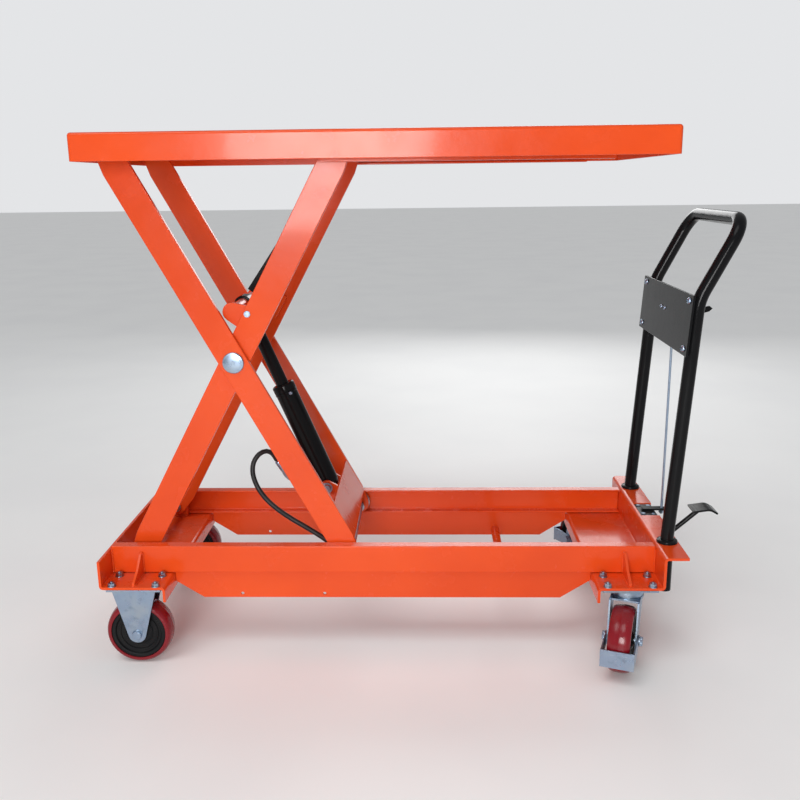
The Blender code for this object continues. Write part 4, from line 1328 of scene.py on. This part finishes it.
@dataclass
class Casters:
    """Two fixed and two braked swivel casters with their nuts."""

    caster_y: float = 0.207
    fixed_x: float = -0.5526
    swivel_x: float = 0.386
    trail: float = 0.038
    turn: float = 20.0
    axle_z: float = 0.0635
    seat_z: float = 0.1626
    stud_x: float = 0.042
    stud_y: float = 0.0225

    def tyre(self) -> Shape:
        """The urethane tread: crowned, with rounded shoulders and a moulding line.

        Returns:
            The tread, round the middle of the wheel.
        """
        profile = [
            (0.0526, 0.0208), (0.0560, 0.0209), (0.0583, 0.0200), (0.0606, 0.0172), (0.0621, 0.0130),
            (0.0630, 0.0070), (0.0633, 0.0006), (0.0635, 0.0), (0.0633, -0.0006), (0.0630, -0.0070),
            (0.0621, -0.0130), (0.0606, -0.0172), (0.0583, -0.0200), (0.0560, -0.0209), (0.0526, -0.0208),
        ]
        return lathe(profile, Matrix.Identity(4), 72, ring=True)

    def hub(self) -> Shape:
        """The moulded hub: rim, ring grooves, dished web and bearing boss.

        Returns:
            The hub, round the middle of the wheel.
        """
        half: list[Point] = [
            (0.0066, 0.0222), (0.0110, 0.0222), (0.0118, 0.0216), (0.0122, 0.0198),
            (0.0150, 0.0196), (0.0158, 0.0188), (0.0175, 0.0164), (0.0240, 0.0156),
            (0.0248, 0.0168), (0.0268, 0.0168), (0.0276, 0.0156),
            (0.0345, 0.0156), (0.0353, 0.0172), (0.0375, 0.0174), (0.0383, 0.0160), (0.0430, 0.0164),
            (0.0450, 0.0196), (0.0465, 0.0202), (0.0510, 0.0200), (0.0523, 0.0190),
        ]
        return lathe([*half, *[(r, -z) for r, z in reversed(half)]], Matrix.Identity(4), 72, ring=True)

    def race(self) -> Shape:
        """The swivel head: upper cup, ball gap and lower cup.

        Returns:
            The race on its own axis.
        """
        profile = [
            (0, 0.1538), (0.0270, 0.1538), (0.0285, 0.1530), (0.0298, 0.1510), (0.0300, 0.1470),
            (0.0288, 0.1460), (0.0268, 0.1455), (0.0268, 0.1448), (0.0288, 0.1443),
            (0.0298, 0.1434), (0.0298, 0.1417), (0, 0.1417),
        ]
        return lathe(profile, Matrix.Identity(4), 64)

    def nuts(self, x: float, side: Side) -> Shape:
        """The four nuts that hold a caster's plate.

        Args:
            x: the plate's place along the table.
            side: which side of the table the plate is on.

        Returns:
            The joined nuts.
        """
        places = [
            at(x + a * self.stud_x, side.value * self.caster_y + b * self.stud_y, self.seat_z)
            for a in (-1, 1) for b in (-1, 1)
        ]
        return joined("nuts", copies(nut_and_stud(0.0064, Matrix.Identity(4)), places))

    def axle_ends(self, reach: float, place: Matrix) -> Shape:
        """Hexagon ends and washers of an axle bolt that lies along the place's own X.

        Args:
            reach: how far the ends are from the middle.
            place: where it stands.

        Returns:
            The joined ends.
        """
        shapes = []
        for sign in (-1, 1):
            out = place @ at(sign * reach, 0, 0) @ Matrix.Rotation(math.radians(90 * sign), 4, "Y")
            head = hexagon(0.0088, 0.0040, out @ at(0, 0, 0.0010))
            shapes.append(joined("end", [washer(0.0096, 0.0010, out), head]))
        return joined("ends", shapes)

    def build(self, shop: Workshop) -> None:
        """Makes and hangs all four casters.

        Args:
            shop: the workshop that dresses and hangs the pieces.
        """
        quarter = Matrix.Rotation(math.radians(90), 4, "Z")
        along_y = Matrix.Rotation(math.radians(-90), 4, "X")
        places = []
        for side in Side:
            y = side.value * self.caster_y
            places.append(("fixed", side, at(self.fixed_x, y, self.axle_z)))
            angle = -self.turn if side is Side.NEAR else 180 + self.turn
            head = at(self.swivel_x, y, 0) @ Matrix.Rotation(math.radians(angle), 4, "Z")
            places.append(("swivel", side, head @ at(0, -self.trail, self.axle_z) @ quarter))
        tyres = copies(self.tyre(), [place @ along_y for _, _, place in places])
        hubs = copies(self.hub(), [place @ along_y for _, _, place in places])
        for (kind, side, place), tyre, hub in zip(places, tyres, hubs):
            label = f"{kind}_{side.word}"
            body = f"{kind}_wheel_{side.word}"
            shop.hang(tyre, f"tread_{label}", Look.URETHANE, body, [f"tyre_{label}"])
            shop.hang(hub, f"wheel_core_{label}", Look.NYLON, body, [f"hub_{label}"])
            back = place @ quarter.inverted()
            if kind == "fixed":
                shop.carry(f"fixed_fork_{side.word}", Look.ZINC, "base", 0.0007)
                shop.hang(self.axle_ends(0.0277, back), f"axle_ends_{label}", Look.ZINC, "base")
                shop.hang(self.nuts(self.fixed_x, side), f"caster_nuts_{label}", Look.ZINC, "base")
            else:
                fork = f"swivel_fork_{side.word}"
                shop.carry(f"swivel_plate_{side.word}", Look.ZINC, "base", 0.0007)
                shop.carry(fork, Look.ZINC, fork, 0.0007)
                shop.carry(f"brake_pedal_{side.word}", Look.ZINC, f"brake_{side.word}", 0.0009)
                shop.hang(self.axle_ends(0.0318, back), f"axle_ends_{label}", Look.ZINC, fork)
                shop.hang(self.nuts(self.swivel_x, side), f"caster_nuts_{label}", Look.ZINC, "base")
                race = settle(self.race(), at(self.swivel_x, side.value * self.caster_y, 0))
                shop.hang(race, f"swivel_race_{side.word}", Look.ZINC, "base")


@dataclass
class Handle:
    """The push handle, its foot collars, the panel and the release controls."""

    radius: float = 0.0125
    half_width: float = 0.158
    foot: Point = (0.469, 0.124)
    lean_z: float = 0.236
    bend: Point = (0.4985, 0.690)
    top: Point = (0.5707, 0.832)
    flange_top: float = 0.2226
    panel_low: float = 0.588
    panel_high: float = 0.700

    def bar(self) -> Shape:
        """The bent tube.

        Returns:
            The tube.
        """
        w = self.half_width
        path = [
            (self.foot[0], -w, self.foot[1]), (self.foot[0], -w, self.lean_z),
            (self.bend[0], -w, self.bend[1]), (self.top[0], -w, self.top[1]),
            (self.top[0], w, self.top[1]), (self.bend[0], w, self.bend[1]),
            (self.foot[0], w, self.lean_z), (self.foot[0], w, self.foot[1]),
        ]
        return tube(filleted(path, [0.03, 0.10, 0.045, 0.045, 0.10, 0.03], 12), self.radius, 10)

    def collar(self, side: Side) -> Shape:
        """A rounded foot collar on the flange.

        Args:
            side: which side of the table it is on.

        Returns:
            The collar.
        """
        profile = [
            (0, 0.0062), (0.0140, 0.0062), (0.0172, 0.0058), (0.0192, 0.0044), (0.0199, 0.0024),
            (0.0198, 0.0005), (0, 0.0005),
        ]
        return lathe(profile, at(self.foot[0], side.value * self.half_width, self.flange_top), 56)

    def panel_place(self) -> Matrix:
        """The panel's own frame: +Z up along it and -X out of its front face.

        Returns:
            The panel's place.
        """
        lean = math.atan2(self.bend[0] - self.foot[0], self.bend[1] - self.lean_z)
        middle = (self.panel_low + self.panel_high) / 2
        x = self.foot[0] + (middle - self.lean_z) * math.tan(lean)
        return at(x, 0, middle) @ Matrix.Rotation(lean, 4, "Y") @ at(-self.radius - 0.0023, 0, 0)

    def build(self, shop: Workshop) -> None:
        """Makes and hangs the handle's pieces.

        Args:
            shop: the workshop that dresses and hangs the pieces.
        """
        bar = joined("bar", [self.bar(), *[self.collar(side) for side in Side]])
        shop.hang(bar, "handle_tube", Look.BLACK, "base", ["push_handle"])
        frame_of_panel = self.panel_place()
        half = (self.panel_high - self.panel_low) / 2
        plate = refine("control_panel", 0.0010, 3)
        shop.hang(plate, "panel_plate", Look.BLACK, "base", ["control_panel"])
        out = Matrix.Rotation(math.radians(-90), 4, "Y")
        spots = [(s * self.half_width, h * (half - 0.012)) for s in (-1, 1) for h in (-1, 1)]
        bolts = [dome_bolt(0.0062, frame_of_panel @ at(-0.0021, y, z) @ out) for y, z in spots]
        bolts += [dome_bolt(0.0040, frame_of_panel @ at(-0.0021, y, 0.010) @ out) for y in (-0.004, 0.020)]
        shop.hang(joined("bolts", bolts), "panel_bolts", Look.ZINC, "base")
        shop.carry("hand_lever", Look.BLACK, "hand_lever", 0.0007)
        hooked = [(0.5035, 0.0175, 0.2130), (0.5035, 0.0175, 0.641), (0.5035, 0.0080, 0.641)]
        rod_path = filleted(hooked, [0.0035], 8)
        rod = joined("rod", [
            tube(rod_path, 0.0024, 6),
            hexagon(0.0058, 0.0048, at(0.5035, 0.0175, 0.2156)),
            threads(0.0027, 0.024, at(0.5035, 0.0175, 0.2210), 0.0010),
        ])
        shop.hang(rod, "release_rod_wire", Look.ZINC, "release_rod", ["release_rod"])


@dataclass
class Pump:
    """The foot pump with its pedal, plunger and release valve lever."""

    centre_y: float = 0.018
    pivot: Point = (0.4965, 0.1437)
    plunger_x: float = 0.518
    slope: float = 42.0

    def plunger(self) -> Shape:
        """The plunger's rod with its rounded upper end.

        Returns:
            The plunger.
        """
        profile = [
            (0, 0.0370), (0.0050, 0.0370), (0.0061, 0.0358), (0.0061, 0.0050), (0.0055, 0.0), (0, 0.0),
        ]
        return lathe(profile, at(self.plunger_x, self.centre_y, 0.113), 32)

    def pedal(self) -> Shape:
        """The pedal's arm, eye and ribbed pad.

        Returns:
            The joined pedal.
        """
        place = at(self.pivot[0], self.centre_y, self.pivot[1])
        plate = refine("pump_pedal", 0.0008, 2)
        slope = math.radians(self.slope)
        end = Vector((0.118 * math.cos(slope), 0, 0.118 * math.sin(slope)))
        ribs = []
        for step in range(6):
            x = end.x - 0.016 + step * 0.0065
            z = end.z + 0.0030 + step * 0.00055
            rib = tube([(x, -0.019, z), (x, 0.019, z)], 0.0009, 2)
            ribs.append(settle(rib, place))
        return joined("pedal", [plate, *ribs])

    def build(self, shop: Workshop) -> None:
        """Makes and hangs the pump's pieces.

        Args:
            shop: the workshop that dresses and hangs the pieces.
        """
        shop.carry("pump_body", Look.BLACK, "base", 0.0012, 3)
        top = 0.2212
        plugs = joined("plugs", [
            hexagon(0.0050, 0.0030, at(0.4600, self.centre_y - 0.024, top - 0.0012)),
            hexagon(0.0050, 0.0030, at(0.4600, self.centre_y + 0.024, top - 0.0012)),
            hexagon(0.0046, 0.0024, at(0.4810, self.centre_y + 0.024, top - 0.0012)),
            dome_bolt(0.0040, at(0.4810, self.centre_y - 0.024, top - 0.0010)),
        ])
        shop.hang(plugs, "pump_plugs", Look.ZINC, "base")
        gland = hexagon(0.0085, 0.010, towards((0.4420, 0.008, 0.125), (0.4300, 0.008, 0.125)))
        shop.hang(gland, "pump_port_nut", Look.ZINC, "base")
        shop.hang(self.plunger(), "plunger_rod", Look.ZINC, "pump_plunger", ["pump_plunger"])
        shop.hang(self.pedal(), "pedal_arm", Look.BLACK, "pump_pedal", ["pump_pedal"])
        shop.carry("valve_lever", Look.BLACK, "valve_lever", 0.0006)


# ---------------------------------------------------------------- studio
@dataclass
class Studio:
    """Camera, soft lights, world and a plain pale floor."""

    eye: Point = (0.0055, -1.7695, 0.9041)
    yaw: float = -1.7366
    pitch: float = 13.8292
    roll: float = -0.7041
    lens: float = 39.91

    def camera(self) -> None:
        """Makes the camera."""
        yaw, pitch, roll = (math.radians(a) for a in (self.yaw, self.pitch, self.roll))
        ahead = Vector((math.sin(yaw) * math.cos(pitch), math.cos(yaw) * math.cos(pitch), -math.sin(pitch)))
        level = Vector((math.cos(yaw), -math.sin(yaw), 0))
        over = level.cross(ahead)
        right = level * math.cos(roll) + over * math.sin(roll)
        up = over * math.cos(roll) - level * math.sin(roll)
        data = bpy.data.cameras.new("camera")
        data.lens = self.lens
        data.sensor_width = 36
        camera = bpy.data.objects.new("camera", data)
        bpy.context.scene.collection.objects.link(camera)
        turn = Matrix((right, up, -ahead)).transposed().to_4x4()
        camera.matrix_world = Matrix.Translation(self.eye) @ turn
        bpy.context.scene.camera = camera

    def lamp(self, name: str, place: Point, target: Point, size: float, watts: float) -> None:
        """A square soft light at a place, turned to a target.

        Args:
            name: its name.
            place: where the light hangs.
            target: the point that it is turned to.
            size: the length of its sides.
            watts: its power.
        """
        data = bpy.data.lights.new(name, "AREA")
        data.size = size
        data.energy = watts
        lamp = bpy.data.objects.new(name, data)
        bpy.context.scene.collection.objects.link(lamp)
        run = Vector(target) - Vector(place)
        lamp.location = place
        lamp.rotation_euler = run.to_track_quat("-Z", "Y").to_euler()

    def floor(self) -> None:
        """A wide pale floor."""
        bpy.ops.mesh.primitive_plane_add(size=1, location=(0, 0, 0))
        floor = bpy.context.object
        floor.scale = (60, 60, 1)
        only(floor)
        bpy.ops.object.transform_apply(location=True, rotation=True, scale=True)
        floor.name = "studio_floor"
        material, sheet, shader = start_material("pale_floor")
        tone = sheet.blend(sheet.ramp(sheet.noise(sheet.place(), 2.2, 4), 0.4, 0.7), rgba((0.90, 0.90, 0.89)),
                           rgba((0.87, 0.87, 0.865)))
        material.node_tree.links.new(tone, shader.inputs["Base Color"])
        shader.inputs["Roughness"].default_value = 0.55
        floor.data.materials.append(material)

    def build(self) -> None:
        """Sets up the whole studio."""
        self.camera()
        self.floor()
        self.sky()
        bpy.context.scene.view_settings.view_transform = "Standard"
        self.lamp("key", (-0.45, -3.2, 1.15), (-0.05, 0, 0.5), 1.0, 55)
        self.lamp("back", (0.4, 3.0, 1.8), (0, 0, 0.5), 1.6, 26)
        sun = bpy.data.lights.new("top", "SUN")
        sun.energy = 0.9
        sun.angle = math.radians(35)
        lamp = bpy.data.objects.new("top", sun)
        bpy.context.scene.collection.objects.link(lamp)
        lamp.rotation_euler = (math.radians(24), math.radians(-16), 0)

    def sky(self) -> None:
        """A dim even world to light by, with a paler one behind the object."""
        world = bpy.data.worlds.new("studio")
        world.use_nodes = True
        sheet = Sheet(world.node_tree)
        ground = world.node_tree.nodes["Background"]
        ground.inputs["Color"].default_value = (0.95, 0.97, 1.0, 1)
        ground.inputs["Strength"].default_value = 0.36
        pale = sheet.add("ShaderNodeBackground", {"Color": (0.97, 0.98, 1.0, 1), "Strength": 0.80})
        seen = sheet.add("ShaderNodeLightPath").outputs["Is Camera Ray"]
        mixed = sheet.add("ShaderNodeMixShader", {0: seen, 1: ground.outputs[0], 2: pale.outputs[0]})
        world.node_tree.links.new(mixed.outputs[0], world.node_tree.nodes["World Output"].inputs["Surface"])
        bpy.context.scene.world = world


def main() -> None:
    """Builds the studio and every sub-assembly."""
    logging.basicConfig(level=logging.INFO, format="%(name)s %(message)s")
    Studio().build()
    shop = Workshop()
    Hose().build(shop)
    for part in (Platform(), Scissor(), Cylinder(), BaseFrame(), Casters(), Handle(), Pump()):
        part.build(shop)
        LOG.info("%s done", type(part).__name__)
    LOG.info("%d pieces", shop.count)


if __name__ == "__main__":
    main()
